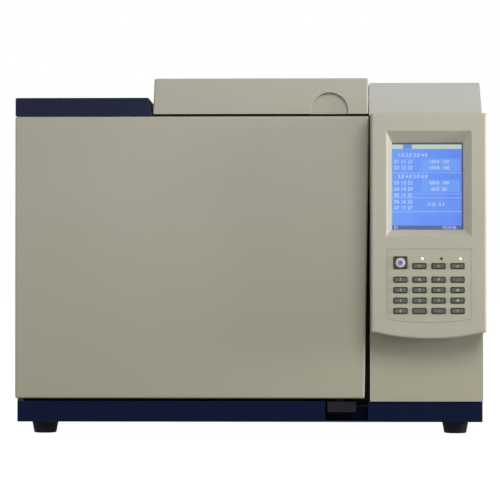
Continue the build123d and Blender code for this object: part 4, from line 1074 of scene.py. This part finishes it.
# ---------------------------------------------------------------- indicator lamps
# Three domed lenses: one lit white, one dark, one lit a warm yellow white.
lens, lens_tree, lens_shader, lens_place = new_finish("lamp_lenses", srgb(220, 224, 216), 0.18)
lens_x = axes_of(lens_tree, lens_place)["X"]
lens_low, lens_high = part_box("indicator_lamps")
lens_middle = (lens_low.x + lens_high.x) / 2
lens_reach = 0.0119  # from the middle lens to the ends of its share
past_first = ramp(lens_tree, lens_x, lens_middle - lens_reach - 0.0001, lens_middle - lens_reach)
past_second = ramp(lens_tree, lens_x, lens_middle + lens_reach, lens_middle + lens_reach + 0.0001)
lens_tone = blend_colour(lens_tree, past_first, srgb(236, 244, 240), srgb(20, 22, 24))
lens_tone = blend_colour(lens_tree, past_second, lens_tone, srgb(246, 240, 196))
lens_dust = ramp(lens_tree, cloud(lens_tree, lens_place, 900, 2.0), 0.3, 0.8, 0.0, 0.2)
lens_tone = blend_colour(lens_tree, lens_dust, lens_tone, srgb(120, 122, 116))
lens_tree.links.new(lens_tone, lens_shader.inputs["Base Color"])
lens_tree.links.new(lens_tone, lens_shader.inputs["Emission Color"])
lens_shader.inputs["Emission Strength"].default_value = 0.7
dress(lens, "indicator_lamps")

# ---------------------------------------------------------------- gas fittings
# Turned brass unions and the valve manifold: lathe rings, darker where it has been handled.
brass, brass_tree, brass_shader, brass_place = new_finish("turned_brass", srgb(196, 162, 92), 0.3)
brass_shader.inputs["Metallic"].default_value = 1.0
lathe = cloud(brass_tree, stretched(brass_tree, brass_place, (8, 400, 8)), 4, 3.0)
tarnish = ramp(brass_tree, cloud(brass_tree, brass_place, 90, 5.0, 0.7), 0.45, 0.75, 0.0, 0.6)
brass_tone = blend_colour(brass_tree, lathe, srgb(206, 172, 102), srgb(182, 148, 82))
brass_tree.links.new(
    blend_colour(brass_tree, tarnish, brass_tone, srgb(126, 98, 58)),
    brass_shader.inputs["Base Color"],
)
brass_tree.links.new(
    ramp(brass_tree, tarnish, 0.0, 0.6, 0.26, 0.48),
    brass_shader.inputs["Roughness"],
)
raise_grain(brass_tree, brass_shader, lathe, 0.2, 0.0002)
dress(brass, "gas_unions", "flow_manifold")

# ---------------------------------------------------------------- printed numbers at the back
# Screen-printed grey numbers under the unions, and a moulded bar and ring on the two faces of
# the mains rocker, which stands at off.
dark_ink = moulded("dark_panel_print", srgb(62, 62, 60), srgb(74, 74, 70), 0.6, 2000, 0.1)
union_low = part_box("gas_unions")[0]
union_count = 4
union_pitch = 0.027
first_union = union_low.x + 0.0091
union_number_size = 0.008
union_number_z = union_low.z - 0.0085
ink_lift = 0.00005
for number in range(union_count):
    write(
        f"union_number_{number + 1}",
        str(number + 1),
        (first_union + number * union_pitch, rear_sheet + ink_lift, union_number_z),
        union_number_size,
        "chassis",
        dark_ink,
        facing=180,
    )

rocker_low, rocker_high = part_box("power_rocker")
module_low, module_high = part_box("mains_module")
rocker_middle = (rocker_low.x + rocker_high.x) / 2
rocker_depth = 0.00662  # axle to the rocker's most raised edge
axle_y, axle_z = rocker_high.y - rocker_depth, (module_low.z + module_high.z) / 2
bar_lean, ring_lean = math.radians(-15.1), math.radians(-0.9)
bar_size = (0.0009, 0.0003, 0.0044)
bar_middle = (rocker_middle, axle_y + 0.00504, axle_z + 0.00535)
ring_radius = 0.0020
ring_wire = 0.00035
ring_middle = (rocker_middle, axle_y + 0.00325, axle_z - 0.00653)

deselect()
bpy.ops.mesh.primitive_cube_add(
    size=1,
    location=bar_middle,
    rotation=(bar_lean, 0, 0),
)
rocker_bar = bpy.context.object
rocker_bar.name = "rocker_bar"
rocker_bar.scale = bar_size
deselect()
bpy.ops.mesh.primitive_torus_add(
    major_segments=40,
    minor_segments=10,
    major_radius=ring_radius,
    minor_radius=ring_wire,
    location=ring_middle,
    rotation=(math.radians(90) + ring_lean, 0, 0),
)
rocker_ring = bpy.context.object
rocker_ring.name = "rocker_ring"
for mark in (rocker_bar, rocker_ring):
    settle(mark)
    mark.data.materials.append(pale_ink)
    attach(mark, "rocker")
